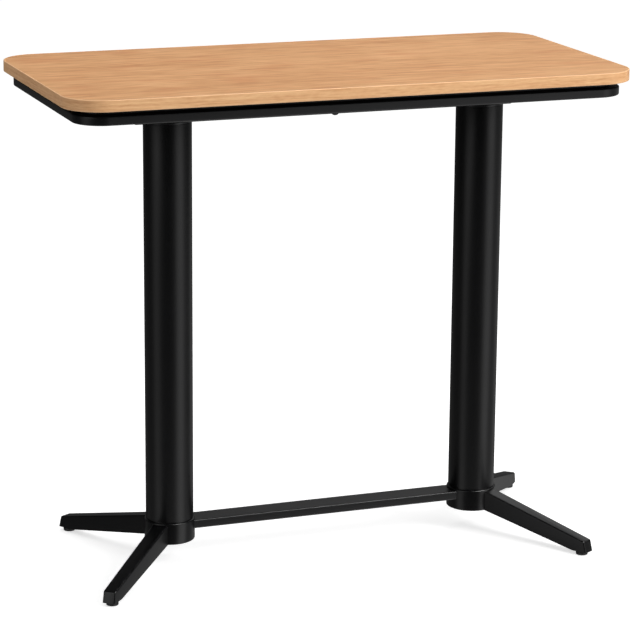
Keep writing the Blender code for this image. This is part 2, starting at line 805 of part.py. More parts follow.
def build_rail(black, zinc, iron):
    """The flat rail between the hubs, the plugs in its ends and the bolts that hold them."""
    half = COLUMN_SPACING / 2
    reach = half - HUB_RADIUS / 2
    cope_radius = HUB_RADIUS + SEAT_GAP

    def tube_ring(x, less):
        outline = rounded_rectangle(
            RAIL_WIDTH - 2 * less, RAIL_DEPTH - 2 * less, max(RAIL_EDGE_RADIUS - less, SEAT_GAP), BEND_STEPS
        )
        return [(BASE_SHIFT + x, y, RAIL_Z + z) for y, z in outline]

    rings = [tube_ring(-reach, 0.0), tube_ring(reach, 0.0)]
    rings += [tube_ring(reach, RAIL_WALL), tube_ring(-reach, RAIL_WALL)]
    rail = make_object("stretcher_rail", loft(rings, closed=True))
    low = RAIL_Z - RAIL_DEPTH
    high = RAIL_Z + RAIL_DEPTH
    copes = [cylinder(cope_radius, low, high, COLUMN_STEPS, (x, 0.0)) for _, _, x in sides()]
    cut(rail, copes)
    finish(rail, black)

    fit = RAIL_WALL + SEAT_GAP
    plug_tip = half - HUB_RADIUS - RAIL_PLUG_LENGTH
    for side_name, side, x in sides():
        faces = sorted((side * plug_tip, side * reach))
        plug = make_object(f"rail_plug_{side_name}", loft([tube_ring(face, fit) for face in faces]))
        bore = along_x(
            cylinder(BOLT_RADIUS + HOLE_CLEARANCE, -RAIL_PLUG_LENGTH, RAIL_PLUG_LENGTH, SCREW_STEPS)
        )
        bmesh.ops.translate(
            bore,
            vec=Vector((x - side * (HUB_RADIUS + RAIL_PLUG_LENGTH / 2), 0.0, RAIL_BOLT_Z)),
            verts=bore.verts,
        )
        cope = cylinder(cope_radius, low, high, COLUMN_STEPS, (x, 0.0))
        cut(plug, [cope])
        cut(plug, [bore])
        finish(plug, iron)
        head = cap_head(BOLT_HEAD_RADIUS, BOLT_HEAD_HEIGHT)
        bolt = screw(f"rail_bolt_{side_name}", head, BOLT_RADIUS, RAIL_BOLT_LENGTH, zinc)
        bolt.rotation_euler.y = -side * math.pi / 2
        bolt.location = (x - side * (HUB_FLAT_X - SEAT_GAP), 0.0, RAIL_BOLT_Z)


def hexagon_nut(name, bottom, material):
    """A hexagon nut round the tie rod."""
    outline = circle(ROD_NUT_ACROSS / math.sqrt(3), 6)
    nut = make_object(name, prism(outline, bottom, bottom + ROD_NUT_HEIGHT))
    cut(nut, [cylinder(ROD_HOLE, bottom - ROD_NUT_HEIGHT, bottom + 2 * ROD_NUT_HEIGHT, SMALL_STEPS)])
    finish(nut, material)
    return nut


def rod_washer(name, bottom, material):
    """A plain washer round the tie rod."""
    top = bottom + ROD_WASHER_THICKNESS
    profile = [(ROD_HOLE, bottom), (ROD_WASHER_RADIUS, bottom), (ROD_WASHER_RADIUS, top), (ROD_HOLE, top)]
    return make_object(name, turned(profile, SMALL_STEPS, bored=True), material)


def build_tie_rods(zinc):
    """A threaded rod through each column, drawn tight by a nut at either end."""
    low_washer = HUB_CAVITY_TOP - SEAT_GAP - ROD_WASHER_THICKNESS
    low_nut = low_washer - SEAT_GAP - ROD_NUT_HEIGHT
    high_washer = BEAM_BOTTOM + BEAM_WALL + SEAT_GAP
    high_nut = high_washer + ROD_WASHER_THICKNESS + SEAT_GAP
    rod_bottom = low_nut - ROD_END
    rod_top = high_nut + ROD_NUT_HEIGHT + ROD_END
    for side_name, _, x in sides():
        pieces = [
            make_object(f"tie_rod_{side_name}", cylinder(ROD_RADIUS, rod_bottom, rod_top, SMALL_STEPS), zinc),
            rod_washer(f"rod_washer_bottom_{side_name}", low_washer, zinc),
            rod_washer(f"rod_washer_top_{side_name}", high_washer, zinc),
            hexagon_nut(f"rod_nut_bottom_{side_name}", low_nut, zinc),
            hexagon_nut(f"rod_nut_top_{side_name}", high_nut, zinc),
        ]
        for piece in pieces:
            piece.location.x = x


def main():
    """Builds the table."""
    clear_scene()
    wood = make_material("oak_veneer", (0.65, 0.36, 0.18), 0.45)
    band = make_material("oak_edge_band", (0.72, 0.41, 0.21), 0.45)
    black = make_material("black_powder_coat", (0.012, 0.012, 0.013), 0.45)
    iron = make_material("black_cast_iron", (0.014, 0.014, 0.015), 0.42)
    plastic = make_material("black_plastic", (0.010, 0.010, 0.010), 0.5)
    zinc = make_material("zinc_plated_steel", (0.55, 0.55, 0.57), 0.35, 1.0)
    brass = make_material("brass", (0.72, 0.52, 0.22), 0.35, 1.0)
    build_top(wood, band)
    build_frame(black)
    build_frame_fasteners(black, zinc, brass)
    build_beam(black, plastic, zinc)
    build_columns(black, iron)
    build_feet(iron)
    build_glides(plastic, zinc)
    build_rail(black, zinc, iron)
    build_tie_rods(zinc)


main()
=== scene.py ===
"""Bar table: lacquered oak-veneer top, powder-coated tube frame and columns, cast feet.

Metres, +Z up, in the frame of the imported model: the origin is on the floor under the middle of the
top and the long side lies along X.
"""

import logging
import math
from collections.abc import Iterable, Sequence
from dataclasses import dataclass, field
from enum import Enum
from typing import Any

import bmesh
import bpy
from mathutils import Matrix, Vector


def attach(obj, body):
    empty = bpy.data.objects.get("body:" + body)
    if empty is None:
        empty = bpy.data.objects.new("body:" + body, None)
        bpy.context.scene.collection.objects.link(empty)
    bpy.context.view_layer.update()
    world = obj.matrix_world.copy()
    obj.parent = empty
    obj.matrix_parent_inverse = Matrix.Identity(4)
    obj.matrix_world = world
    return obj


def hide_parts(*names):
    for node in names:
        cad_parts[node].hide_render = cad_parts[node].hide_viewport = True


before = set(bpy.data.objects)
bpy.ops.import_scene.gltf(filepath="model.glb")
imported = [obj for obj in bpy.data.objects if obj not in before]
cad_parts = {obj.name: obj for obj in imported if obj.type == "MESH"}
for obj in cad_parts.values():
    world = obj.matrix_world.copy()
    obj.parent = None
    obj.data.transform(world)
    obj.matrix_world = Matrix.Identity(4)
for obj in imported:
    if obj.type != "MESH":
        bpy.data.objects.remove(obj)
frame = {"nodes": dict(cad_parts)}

LOG = logging.getLogger("bar_table")

Point2 = tuple[float, float]
Point3 = tuple[float, float, float]
Mesh = bmesh.types.BMesh
Tree = bpy.types.NodeTree
Socket = bpy.types.NodeSocket

# Smallest distance between two points of a joined or cut mesh
WELD = 0.00002

# Gap between two pieces that touch
SEAT = 0.0003

# Corners wider than this, in degrees, count as straight
STRAIGHT = 170.0

# Most of a side that the rounding of one corner may take
EASED_SHARE = 0.45

# Depth of a thread as a share of its pitch
THREAD_DEPTH = 0.54

# Strength of each finer octave of noise as a share of the one before
OCTAVE_FALL = 0.55

# Upright part of a normal below which a face points down
FACES_DOWN = -0.5


class Side(Enum):
    """The two columns, seen from the front."""

    LEFT = -1
    RIGHT = 1

    @property
    def label(self) -> str:
        """The word used in piece names."""
        return self.name.lower()


class End(Enum):
    """The two long sides of the table."""

    FRONT = -1
    BACK = 1

    @property
    def label(self) -> str:
        """The word used in piece names."""
        return self.name.lower()


class Edge(Enum):
    """How sharp an edge has to be before it stays sharp in the shading, in degrees."""

    ROUND = 60.0
    CRISP = 32.0


class Boolean(Enum):
    """What is made of two meshes."""

    JOIN = "UNION"
    CUT = "DIFFERENCE"
    SHARED = "INTERSECT"


class Slot(Enum):
    """The material slots of the record."""

    VENEER = "oak_veneer"
    EDGE_BAND = "oak_edge_band"
    POWDER_COAT = "black_powder_coat"
    CAST_IRON = "black_cast_iron"
    ZINC = "zinc_plated_steel"
    PLASTIC = "black_plastic"


# Outlines


def arc(centre: Point2, radius: float, start: float, end: float, steps: int) -> list[Point2]:
    """Gives the points of an arc.

    Args:
        centre: Middle of the arc.
        radius: Its radius in metres.
        start: First angle in degrees.
        end: Last angle in degrees.
        steps: Number of chords.

    Returns:
        The points from start to end, both included.
    """
    points = []
    for i in range(steps + 1):
        angle = math.radians(start + (end - start) * i / steps)
        points.append((centre[0] + radius * math.cos(angle), centre[1] + radius * math.sin(angle)))
    return points


def circle(radius: float, steps: int) -> list[Point2]:
    """Gives the points of a circle, the first one not repeated."""
    return arc((0.0, 0.0), radius, 0.0, 360.0, steps)[:-1]


def rounded_rectangle(length: float, width: float, radius: float, steps: int) -> list[Point2]:
    """Gives the outline of a rectangle with round corners about the origin.

    Args:
        length: Size along the first axis.
        width: Size along the second axis.
        radius: Corner radius.
        steps: Chords in each corner.

    Returns:
        The points, anticlockwise.
    """
    across, up = length / 2 - radius, width / 2 - radius
    corners = (((across, up), 0), ((-across, up), 90), ((-across, -up), 180), ((across, -up), 270))
    points: list[Point2] = []
    for centre, start in corners:
        points += arc(centre, radius, start, start + 90, steps)
    return points


def eased(points: Sequence[Point2], radius: float, steps: int = 3, closed: bool = True) -> list[Point2]:
    """Rounds the corners of an outline or a profile.

    Args:
        points: The corners.
        radius: Radius of the rounding; a short side limits it.
        steps: Chords in each rounding.
        closed: Whether the last point joins the first.

    Returns:
        The outline with its corners rounded.
    """
    count = len(points)
    result: list[Point2] = []
    for i, point in enumerate(points):
        if not closed and i in (0, count - 1):
            result.append(point)
            continue
        here = Vector(point)
        before = Vector(points[i - 1]) - here
        after = Vector(points[(i + 1) % count]) - here
        bend = before.angle(after)
        if bend > math.radians(STRAIGHT):
            result.append(point)
            continue
        reach = min(radius / math.tan(bend / 2), before.length * EASED_SHARE, after.length * EASED_SHARE)
        start, end = here + before.normalized() * reach, here + after.normalized() * reach
        for j in range(steps + 1):
            t = j / steps
            spot = start * (1 - t) ** 2 + here * (2 * t * (1 - t)) + end * t**2
            result.append((spot.x, spot.y))
    return result


# Meshes


def loft(rings: Sequence[Sequence[Point3]], closed: bool = False) -> Mesh:
    """Joins rings of equally many points into a surface.

    Args:
        rings: The rings in order.
        closed: Whether the last ring joins the first; otherwise both ends are capped.

    Returns:
        A closed mesh with its faces out.
    """
    mesh = bmesh.new()
    loops = [[mesh.verts.new(point) for point in ring] for ring in rings]
    pairs = list(zip(loops, loops[1:]))
    if closed:
        pairs.append((loops[-1], loops[0]))
    for lower, upper in pairs:
        count = len(lower)
        for i in range(count):
            j = (i + 1) % count
            mesh.faces.new((lower[i], lower[j], upper[j], upper[i]))
    if not closed:
        mesh.faces.new(loops[0])
        mesh.faces.new(loops[-1])
    bmesh.ops.recalc_face_normals(mesh, faces=mesh.faces)
    return mesh


def prism(outline: Sequence[Point2], bottom: float, top: float) -> Mesh:
    """Extrudes a flat outline upwards."""
    return loft([[(x, y, z) for x, y in outline] for z in (bottom, top)])


def box(low: Point3, high: Point3) -> Mesh:
    """Makes a block between two corners."""
    outline = [(low[0], low[1]), (high[0], low[1]), (high[0], high[1]), (low[0], high[1])]
    return prism(outline, low[2], high[2])


def turned(profile: Sequence[Point2], steps: int, bored: bool = False) -> Mesh:
    """Turns a profile of (radius, height) points about Z; a bored one closes on itself."""
    rings = [[(x, y, height) for x, y in circle(radius, steps)] for radius, height in profile]
    return loft(rings, closed=bored)


def threaded(
    radius: float, pitch: float, bottom: float, top: float, steps: int = 24, rows_per_turn: int = 6
) -> Mesh:
    """Makes a rod with a rounded V thread cut into it.

    Args:
        radius: Radius over the crests.
        pitch: Rise in one turn.
        bottom: Height of the lower end.
        top: Height of the upper end.
        steps: Points round the rod.
        rows_per_turn: Rings of points in one turn of the thread.

    Returns:
        A closed mesh; the thread runs out into a small chamfer at each end.
    """
    depth = pitch * THREAD_DEPTH
    rows = round((top - bottom) / pitch * rows_per_turn)
    rings = []
    for i in range(rows + 1):
        z = bottom + (top - bottom) * i / rows
        run_out = min(1.0, (z - bottom) / pitch, (top - z) / pitch)
        ring = []
        for j in range(steps):
            turn = j / steps
            phase = ((z - bottom) / pitch - turn) % 1.0
            groove = 0.5 + 0.5 * math.cos(2 * math.pi * phase)
            here = radius - depth * (1 - run_out * (1 - groove))
            ring.append((here * math.cos(2 * math.pi * turn), here * math.sin(2 * math.pi * turn), z))
        rings.append(ring)
    return loft(rings)


def moved(mesh: Mesh, offset: Point3) -> Mesh:
    """Shifts a mesh."""
    bmesh.ops.translate(mesh, vec=Vector(offset), verts=mesh.verts)
    return mesh


def rotated(mesh: Mesh, angle: float, axis: str) -> Mesh:
    """Turns a mesh about a main axis, in radians."""
    bmesh.ops.rotate(mesh, cent=Vector(), matrix=Matrix.Rotation(angle, 3, axis), verts=mesh.verts)
    return mesh


def rounded(mesh: Mesh, edges: Sequence[bmesh.types.BMEdge], radius: float, segments: int) -> Mesh:
    """Rounds some edges of a mesh.

    Args:
        mesh: The mesh.
        edges: Its edges that are rounded.
        radius: Radius of the rounding.
        segments: Chords in the rounding.

    Returns:
        The same mesh.
    """
    bmesh.ops.bevel(
        mesh, geom=edges, offset=radius, segments=segments, profile=0.5, affect="EDGES", clamp_overlap=True
    )
    return mesh


def merged(meshes: Iterable[Mesh]) -> Mesh:
    """Puts several meshes into one.

    Args:
        meshes: The meshes, which are freed.

    Returns:
        One mesh that holds them side by side.
    """
    whole = bmesh.new()
    for mesh in meshes:
        data = bpy.data.meshes.new("loose_part")
        mesh.to_mesh(data)
        mesh.free()
        whole.from_mesh(data)
        bpy.data.meshes.remove(data)
    return whole


def combined(mesh: Mesh, others: Iterable[Mesh], operation: Boolean) -> Mesh:
    """Joins meshes to a mesh, cuts them out of it or keeps what they share.

    Args:
        mesh: The mesh to work on, which is freed.
        others: The meshes to join, cut or intersect, which are freed.
        operation: What is done with them.

    Returns:
        The new mesh, cleaned of slivers.
    """
    holders = []
    for name, source in (("boolean_body", mesh), ("boolean_tool", merged(others))):
        data = bpy.data.meshes.new(name)
        source.to_mesh(data)
        source.free()
        holder = bpy.data.objects.new(name, data)
        bpy.context.scene.collection.objects.link(holder)
        holders.append(holder)
    body, tool = holders
    modifier = body.modifiers.new("boolean", "BOOLEAN")
    modifier.operation = operation.value
    modifier.solver = "EXACT"
    modifier.object = tool
    bpy.context.view_layer.update()
    evaluated = body.evaluated_get(bpy.context.evaluated_depsgraph_get())
    result = bmesh.new()
    result.from_mesh(evaluated.to_mesh())
    for holder in holders:
        data = holder.data
        bpy.data.objects.remove(holder, do_unlink=True)
        bpy.data.meshes.remove(data)
    bmesh.ops.remove_doubles(result, verts=result.verts, dist=WELD)
    bmesh.ops.dissolve_degenerate(result, edges=result.edges, dist=WELD)
    return result


def make_piece(
    name: str,
    mesh: Mesh,
    material: bpy.types.Material,
    body: str = "table",
    stands_for: Sequence[str] = (),
    edge: Edge = Edge.CRISP,
) -> bpy.types.Object:
    """Turns a mesh into a piece of the table.

    Args:
        name: Name of the piece.
        mesh: Its mesh, which is freed.
        material: Its finish.
        body: The moving body that carries it.
        stands_for: The model's nodes that it takes the place of.
        edge: How its edges are shaded.

    Returns:
        The new object.
    """
    data = bpy.data.meshes.new(name)
    mesh.to_mesh(data)
    mesh.free()
    piece = bpy.data.objects.new(name, data)
    bpy.context.scene.collection.objects.link(piece)
    data.materials.append(material)
    data.shade_smooth()
    data.set_sharp_from_angle(angle=math.radians(edge.value))
    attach(piece, body)
    if stands_for:
        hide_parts(*stands_for)
    LOG.info("%s: %d faces on %s", name, len(data.polygons), body)
    return piece


def dress(node: str, material: bpy.types.Material) -> None:
    """Gives a solid that stays as modelled its finish.

    Args:
        node: Name of the solid.
        material: Its finish.
    """
    item = bpy.data.objects[node]
    item.data.materials.clear()
    item.data.materials.append(material)
    LOG.info("%s: %s", node, material.name)


# Colours and shader nodes


def linear(hex_colour: str) -> tuple[float, float, float, float]:
    """Turns an sRGB hex colour into linear light.

    Args:
        hex_colour: The colour, such as #D3A175.

    Returns:
        Red, green, blue and an alpha of 1.
    """
    values = []
    for i in (1, 3, 5):
        part = int(hex_colour[i : i + 2], 16) / 255
        values.append(part / 12.92 if part <= 0.04045 else ((part + 0.055) / 1.055) ** 2.4)
    return (values[0], values[1], values[2], 1.0)


def add_node(
    tree: Tree,
    kind: str,
    inputs: dict[Any, Any] | None = None,
    stops: Sequence[tuple[float, str]] = (),
    **settings: Any,
) -> bpy.types.Node:
    """Adds a shader node with its settings, values and links.

    Args:
        tree: The material's or world's node tree.
        kind: The node's type name without its ShaderNode prefix.
        inputs: Input name or number to a value, or to a socket that is linked to it.
        stops: Positions and hex colours of a colour ramp.
        settings: Properties of the node.

    Returns:
        The node.
    """
    node = tree.nodes.new("ShaderNode" + kind)
    for name, value in settings.items():
        setattr(node, name, value)
    for key, value in (inputs or {}).items():
        if isinstance(value, bpy.types.NodeSocket):
            tree.links.new(value, node.inputs[key])
        else:
            node.inputs[key].default_value = value
    for i, (position, colour) in enumerate(stops):
        elements = node.color_ramp.elements
        element = elements[i] if i < len(elements) else elements.new(position)
        element.position = position
        element.color = linear(colour)
    return node


def span(value: Socket, start: Point2, end: Point2) -> dict[str, Any]:
    """Gives the inputs that map a value from one (value, result) point to another.

    Args:
        value: The socket to map.
        start: Its first value and the result there.
        end: Its last value and the result there.

    Returns:
        The inputs of a Map Range node.
    """
    return {"Value": value, "From Min": start[0], "From Max": end[0], "To Min": start[1], "To Max": end[1]}


def stretched_noise(tree: Tree, vector: Socket, size_mm: Point3, detail: float) -> Socket:
    """Lays noise whose cells have real sizes.

    Args:
        tree: The node tree.
        vector: Coordinates in metres.
        size_mm: Size of a cell along each axis in millimetres.
        detail: Octaves of finer noise.

    Returns:
        The noise value, about 0.5 in the middle.
    """
    scale = tuple(1000.0 / size for size in size_mm)
    place = add_node(tree, "Mapping", {"Vector": vector, "Scale": scale}).outputs[0]
    inputs = {"Vector": place, "Scale": 1.0, "Detail": detail, "Roughness": OCTAVE_FALL}
    return add_node(tree, "TexNoise", inputs).outputs["Fac"]


# Finishes


@dataclass(frozen=True)
class Finish:
    """A surface finish. Each kind lays out its own shader."""

    name: str

    def shader(self, tree: Tree) -> bpy.types.Node:
        """Lays out the finish's nodes and gives its shader."""
        raise NotImplementedError

    def material(self) -> bpy.types.Material:
        """Builds the material.

        Returns:
            The material with the finish's shader on its surface.
        """
        material = bpy.data.materials.new(self.name)
        material.use_nodes = True
        tree = material.node_tree
        tree.nodes.clear()
        add_node(tree, "OutputMaterial", {"Surface": self.shader(tree).outputs[0]})
        return material


@dataclass(frozen=True)
class GrainLayer:
    """One layer of wood grain: the length and width of its marks, their octaves and their share."""

    along_mm: float
    across_mm: float
    detail: float
    share: float = 1.0

    def noise(self, tree: Tree, place: Socket) -> Socket:
        """Lays the layer along the first axis of the given coordinates."""
        return stretched_noise(tree, place, (self.along_mm, self.across_mm, self.across_mm), self.detail)


@dataclass(frozen=True)
class LacqueredVeneer(Finish):
    """Oak veneer, sliced and sanded, under a matt lacquer.

    To the eye: a warm light brown with long quiet streaks and shorter flecks, a few ruddy patches,
    fine pores that follow the grain and only a soft sheen.
    """

    name: str = "lacquered_oak_veneer"
    pale: str = "#D5A576"
    middle: str = "#C49263"
    dark: str = "#AA7347"
    red: str = "#BA7A4E"
    tone: GrainLayer = GrainLayer(900.0, 75.0, detail=2.0, share=0.18)
    streak: GrainLayer = GrainLayer(150.0, 13.0, detail=4.0, share=0.42)
    fleck: GrainLayer = GrainLayer(52.0, 9.1, detail=2.0, share=0.28)
    fine: GrainLayer = GrainLayer(84.0, 2.56, detail=2.0, share=0.12)
    ruddy: GrainLayer = GrainLayer(150.0, 26.0, detail=1.0, share=0.55)
    # Oak pores are 0.3 mm wide; they are drawn 1.6 mm wide, the least that shows from the camera.
    pores: GrainLayer = GrainLayer(28.0, 1.6, detail=1.0, share=0.30)
    # Straight grain wavers sideways by about a centimetre in the length of a board.
    waver: GrainLayer = GrainLayer(700.0, 60.0, detail=1.0)
    waver_reach_mm: float = 12.0
    dark_at: float = 0.38
    middle_at: float = 0.50
    pale_at: float = 0.62
    ruddy_from: Point2 = (0.54, 0.72)
    pores_from: Point2 = (0.60, 0.78)
    roughness: float = 0.42
    smoother: float = 0.05
    rougher: float = 0.07
    pore_depth_mm: float = 0.3
    # The lacquer fills the pores but for this share.
    open_pores: float = 0.12
    ior: float = 1.5
    specular: float = 0.35

    def place(self, tree: Tree) -> Socket:
        """Gives the coordinates that the grain follows."""
        return add_node(tree, "TexCoord").outputs["Object"]

    def arris_wear_and_highlight(self, tree: Tree, colour: Socket) -> Socket:
        """Changes the colour where the surface was worked, with pale wear and a painted highlight; a flat
        veneer keeps it.
        """
        return colour

    def shader(self, tree: Tree) -> bpy.types.Node:
        """Lays out the wood's nodes.

        Args:
            tree: The material's node tree.

        Returns:
            The shader.
        """
        place = self.place(tree)
        reach = self.waver_reach_mm / 1000
        shift = add_node(tree, "MapRange", span(self.waver.noise(tree, place), (0.0, -reach), (1.0, reach)))
        offset = add_node(tree, "CombineXYZ", {"Y": shift.outputs[0]}).outputs[0]
        grain = add_node(tree, "VectorMath", {0: place, 1: offset}, operation="ADD").outputs[0]
        layers = (self.tone, self.streak, self.fleck, self.fine)
        marks = {layer: layer.noise(tree, grain) for layer in layers}
        value: Any = 0.0
        for layer, mark in marks.items():
            added = {0: mark, 1: layer.share, 2: value}
            value = add_node(tree, "Math", added, operation="MULTIPLY_ADD").outputs[0]
        stops = ((self.dark_at, self.dark), (self.middle_at, self.middle), (self.pale_at, self.pale))
        colour = add_node(tree, "ValToRGB", {"Fac": value}, stops).outputs["Color"]
        pores = self.pores.noise(tree, grain)
        overlays = (
            (self.ruddy.noise(tree, grain), self.ruddy_from, self.ruddy.share, self.red),
            (pores, self.pores_from, self.pores.share, self.dark),
        )
        for mark, (first, last), share, tint in overlays:
            amount = add_node(tree, "MapRange", span(mark, (first, 0.0), (last, share))).outputs[0]
            colour = add_node(
                tree, "Mix", {0: amount, 6: colour, 7: linear(tint)}, data_type="RGBA"
            ).outputs[2]
        low, high = self.roughness - self.smoother, self.roughness + self.rougher
        gloss = add_node(tree, "MapRange", span(marks[self.streak], (0.0, low), (1.0, high)))
        depth = self.pore_depth_mm / 1000
        bump = add_node(tree, "Bump", {"Height": pores, "Strength": self.open_pores, "Distance": depth})
        return add_node(
            tree,
            "BsdfPrincipled",
            {
                "Base Color": self.arris_wear_and_highlight(tree, colour),
                "Roughness": gloss.outputs[0],
                "Normal": bump.outputs[0],
                "IOR": self.ior,
                "Specular IOR Level": self.specular,
            },
        )


@dataclass(frozen=True)
class LacqueredEdgeBand(LacqueredVeneer):
    """Oak band, glued round the board and sanded flush, under the same lacquer.

    To the eye: a shade lighter than the top, with its grain running round the board, and paler at its two
    arrises: paler wood where the sanding broke them, and a painted highlight of the light that they catch.
    """

    name: str = "lacquered_oak_edge_band"
    pale: str = "#E6BA88"
    middle: str = "#DBA979"
    dark: str = "#C68F5E"
    red: str = "#D09A6C"
    # Paler wood of the sanded arrises, with a painted highlight of the light that they catch
    arris: str = "#E6BB8F"
    streak: GrainLayer = GrainLayer(160.0, 5.0, detail=4.0, share=0.42)
    fleck: GrainLayer = GrainLayer(20.0, 3.5, detail=2.0, share=0.28)
    ruddy: GrainLayer = GrainLayer(160.0, 10.0, detail=1.0, share=0.55)
    arris_inside_mm: float = 1.6
    arris_full_mm: float = 0.5

    def place(self, tree: Tree) -> Socket:
        """Gives the coordinates that the grain follows: the run round the board, then the height."""
        return add_node(tree, "UVMap").outputs[0]

    def arris_wear_and_highlight(self, tree: Tree, colour: Socket) -> Socket:
        """Lightens the two arrises, at the band's lowest and highest edges: paler sanded wood and a painted
        highlight.

        Args:
            tree: The material's node tree.
            colour: The wood's colour.

        Returns:
            The colour with the arrises.
        """
        place = add_node(tree, "TexCoord").outputs["Object"]
        height = add_node(tree, "SeparateXYZ", {0: place}).outputs["Z"]
        half = EdgeBandedTop.thickness / 2
        above = add_node(tree, "Math", {0: height, 1: EdgeBandedTop.top - half}, operation="SUBTRACT")
        away = add_node(tree, "Math", {0: above.outputs[0]}, operation="ABSOLUTE").outputs[0]
        first, last = half - self.arris_inside_mm / 1000, half - self.arris_full_mm / 1000
        amount = add_node(tree, "MapRange", span(away, (first, 0.0), (last, 1.0))).outputs[0]
        # Mixes in the arris colour: paler sanded wood and a painted highlight
        inputs = {0: amount, 6: colour, 7: linear(self.arris)}
        return add_node(tree, "Mix", inputs, data_type="RGBA").outputs[2]


@dataclass(frozen=True)
class PowderCoat(Finish):
    """Polyester powder coat, sprayed and baked on steel.

    To the eye: a deep satin black whose reflections are soft and faintly broken by the orange peel
    of the baked film.
    """

    name: str = "satin_black_powder_coat"
    colour: str = "#080809"
    roughness: float = 0.36
    uneven: float = 0.04
    ior: float = 1.5
    specular: float = 0.30
    cloud_mm: float = 90.0
    # Orange peel has waves of 1 to 3 mm.
    peel_mm: float = 2.2
    peel_height_mm: float = 0.012

    def relief(self, tree: Tree, place: Socket) -> Socket:
        """Gives the normal of the peeled film.

        Args:
            tree: The material's node tree.
            place: Coordinates in metres.

        Returns:
            The normal's socket.
        """
        peel = stretched_noise(tree, place, (self.peel_mm,) * 3, 1.0)
        inputs = {"Height": peel, "Strength": 1.0, "Distance": self.peel_height_mm / 1000}
        return add_node(tree, "Bump", inputs).outputs[0]

    def shader(self, tree: Tree) -> bpy.types.Node:
        """Lays out the coat's nodes.

        Args:
            tree: The material's node tree.

        Returns:
            The shader.
        """
        place = add_node(tree, "TexCoord").outputs["Object"]
        cloud = stretched_noise(tree, place, (self.cloud_mm,) * 3, 2.0)
        low, high = self.roughness - self.uneven, self.roughness + self.uneven
        gloss = add_node(tree, "MapRange", span(cloud, (0.0, low), (1.0, high)))
        return add_node(
            tree,
            "BsdfPrincipled",
            {
                "Base Color": linear(self.colour),
                "Roughness": gloss.outputs[0],
                "Normal": self.relief(tree, place),
                "IOR": self.ior,
                "Specular IOR Level": self.specular,
            },
        )


@dataclass(frozen=True)
class CoatedCastIron(PowderCoat):
    """The same powder coat on sand-cast iron.

    To the eye: the same black, a little glossier, with the grain of the mould showing through.
    """

    name: str = "satin_black_coat_on_cast_iron"
    roughness: float = 0.30
    specular: float = 0.33
    # The sand mould leaves lumps of about 0.8 mm.
    grain_mm: float = 0.8
    grain_height_mm: float = 0.010

    def relief(self, tree: Tree, place: Socket) -> Socket:
        """Gives the normal of the peeled film over the mould's grain.

        Args:
            tree: The material's node tree.
            place: Coordinates in metres.

        Returns:
            The normal's socket.
        """
        film = super().relief(tree, place)
        grain = stretched_noise(tree, place, (self.grain_mm,) * 3, 2.0)
        distance = self.grain_height_mm / 1000
        inputs = {"Height": grain, "Strength": 1.0, "Distance": distance, "Normal": film}
        return add_node(tree, "Bump", inputs).outputs[0]


@dataclass(frozen=True)
class MattPlastic(Finish):
    """A matt plastic surface with a fine even grain."""

    colour: str
    roughness: float
    grain_mm: float
    smoother: float = 0.05
    rougher: float = 0.08
    grain_height_mm: float = 0.03
    relief: float = 0.6
    ior: float = 1.53

    def shader(self, tree: Tree) -> bpy.types.Node:
        """Lays out the plastic's nodes.

        Args:
            tree: The material's node tree.

        Returns:
            The shader.
        """
        place = add_node(tree, "TexCoord").outputs["Object"]
        grain = stretched_noise(tree, place, (self.grain_mm,) * 3, 1.0)
        low, high = self.roughness - self.smoother, self.roughness + self.rougher
        gloss = add_node(tree, "MapRange", span(grain, (0.0, low), (1.0, high)))
        height = self.grain_height_mm / 1000
        bump = add_node(tree, "Bump", {"Height": grain, "Strength": self.relief, "Distance": height})
        return add_node(
            tree,
            "BsdfPrincipled",
            {
                "Base Color": linear(self.colour),
                "Roughness": gloss.outputs[0],
                "Normal": bump.outputs[0],
                "IOR": self.ior,
            },
        )


@dataclass(frozen=True)
class MouldedNylon(MattPlastic):
    """Polyamide, injection moulded with a fine spark-eroded texture.

    To the eye: a flat, slightly grey black with no clear reflection.
    """

    name: str = "moulded_black_nylon"
    colour: str = "#101011"
    roughness: float = 0.55
    # The texture's grain is 0.15 mm; it is drawn 0.5 mm wide so that it shows close up.
    grain_mm: float = 0.5


@dataclass(frozen=True)
class PressedLaminate(MattPlastic):
    """Phenolic paper sheet, pressed on the board's underside to keep it flat.

    To the eye: a dull brown black, dark to stand in for the shade under the board, which the frame's edges
    reflect: painted shade.
    """

    name: str = "phenolic_balancing_sheet"
    # Brown black: painted shade on the board's underside, darkening what the frame reflects
    colour: str = "#1A120D"
    roughness: float = 0.50
    # The paper's fibres are 0.03 mm wide; their clumps are drawn 0.8 mm wide.
    grain_mm: float = 0.8


@dataclass(frozen=True)
class WorkedMetal(Finish):
    """A bare metal surface with tool marks and a clouded gloss."""

    pale: str
    dark: str
    roughness: float
    smoother: float = 0.08
    rougher: float = 0.10
    dark_at: float = 0.35
    pale_at: float = 0.65
    # Tool marks are 0.1 mm apart and run on for centimetres; they are drawn 0.4 mm apart.
    mark_mm: float = 0.4
    mark_length_mm: float = 20.0
    mark_height_mm: float = 0.02
    relief: float = 0.5
    cloud_mm: float = 6.0

    def shader(self, tree: Tree) -> bpy.types.Node:
        """Lays out the metal's nodes.

        Args:
            tree: The material's node tree.

        Returns:
            The shader.
        """
        place = add_node(tree, "TexCoord").outputs["Object"]
        cloud = stretched_noise(tree, place, (self.cloud_mm,) * 3, 3.0)
        size = (self.mark_length_mm, self.mark_length_mm, self.mark_mm)
        marks = stretched_noise(tree, place, size, 1.0)
        stops = ((self.dark_at, self.dark), (self.pale_at, self.pale))
        low, high = self.roughness - self.smoother, self.roughness + self.rougher
        gloss = add_node(tree, "MapRange", span(cloud, (0.0, low), (1.0, high)))
        height = self.mark_height_mm / 1000
        bump = add_node(tree, "Bump", {"Height": marks, "Strength": self.relief, "Distance": height})
        return add_node(
            tree,
            "BsdfPrincipled",
            {
                "Base Color": add_node(tree, "ValToRGB", {"Fac": cloud}, stops).outputs["Color"],
                "Roughness": gloss.outputs[0],
                "Normal": bump.outputs[0],
                "Metallic": 1.0,
            },
        )


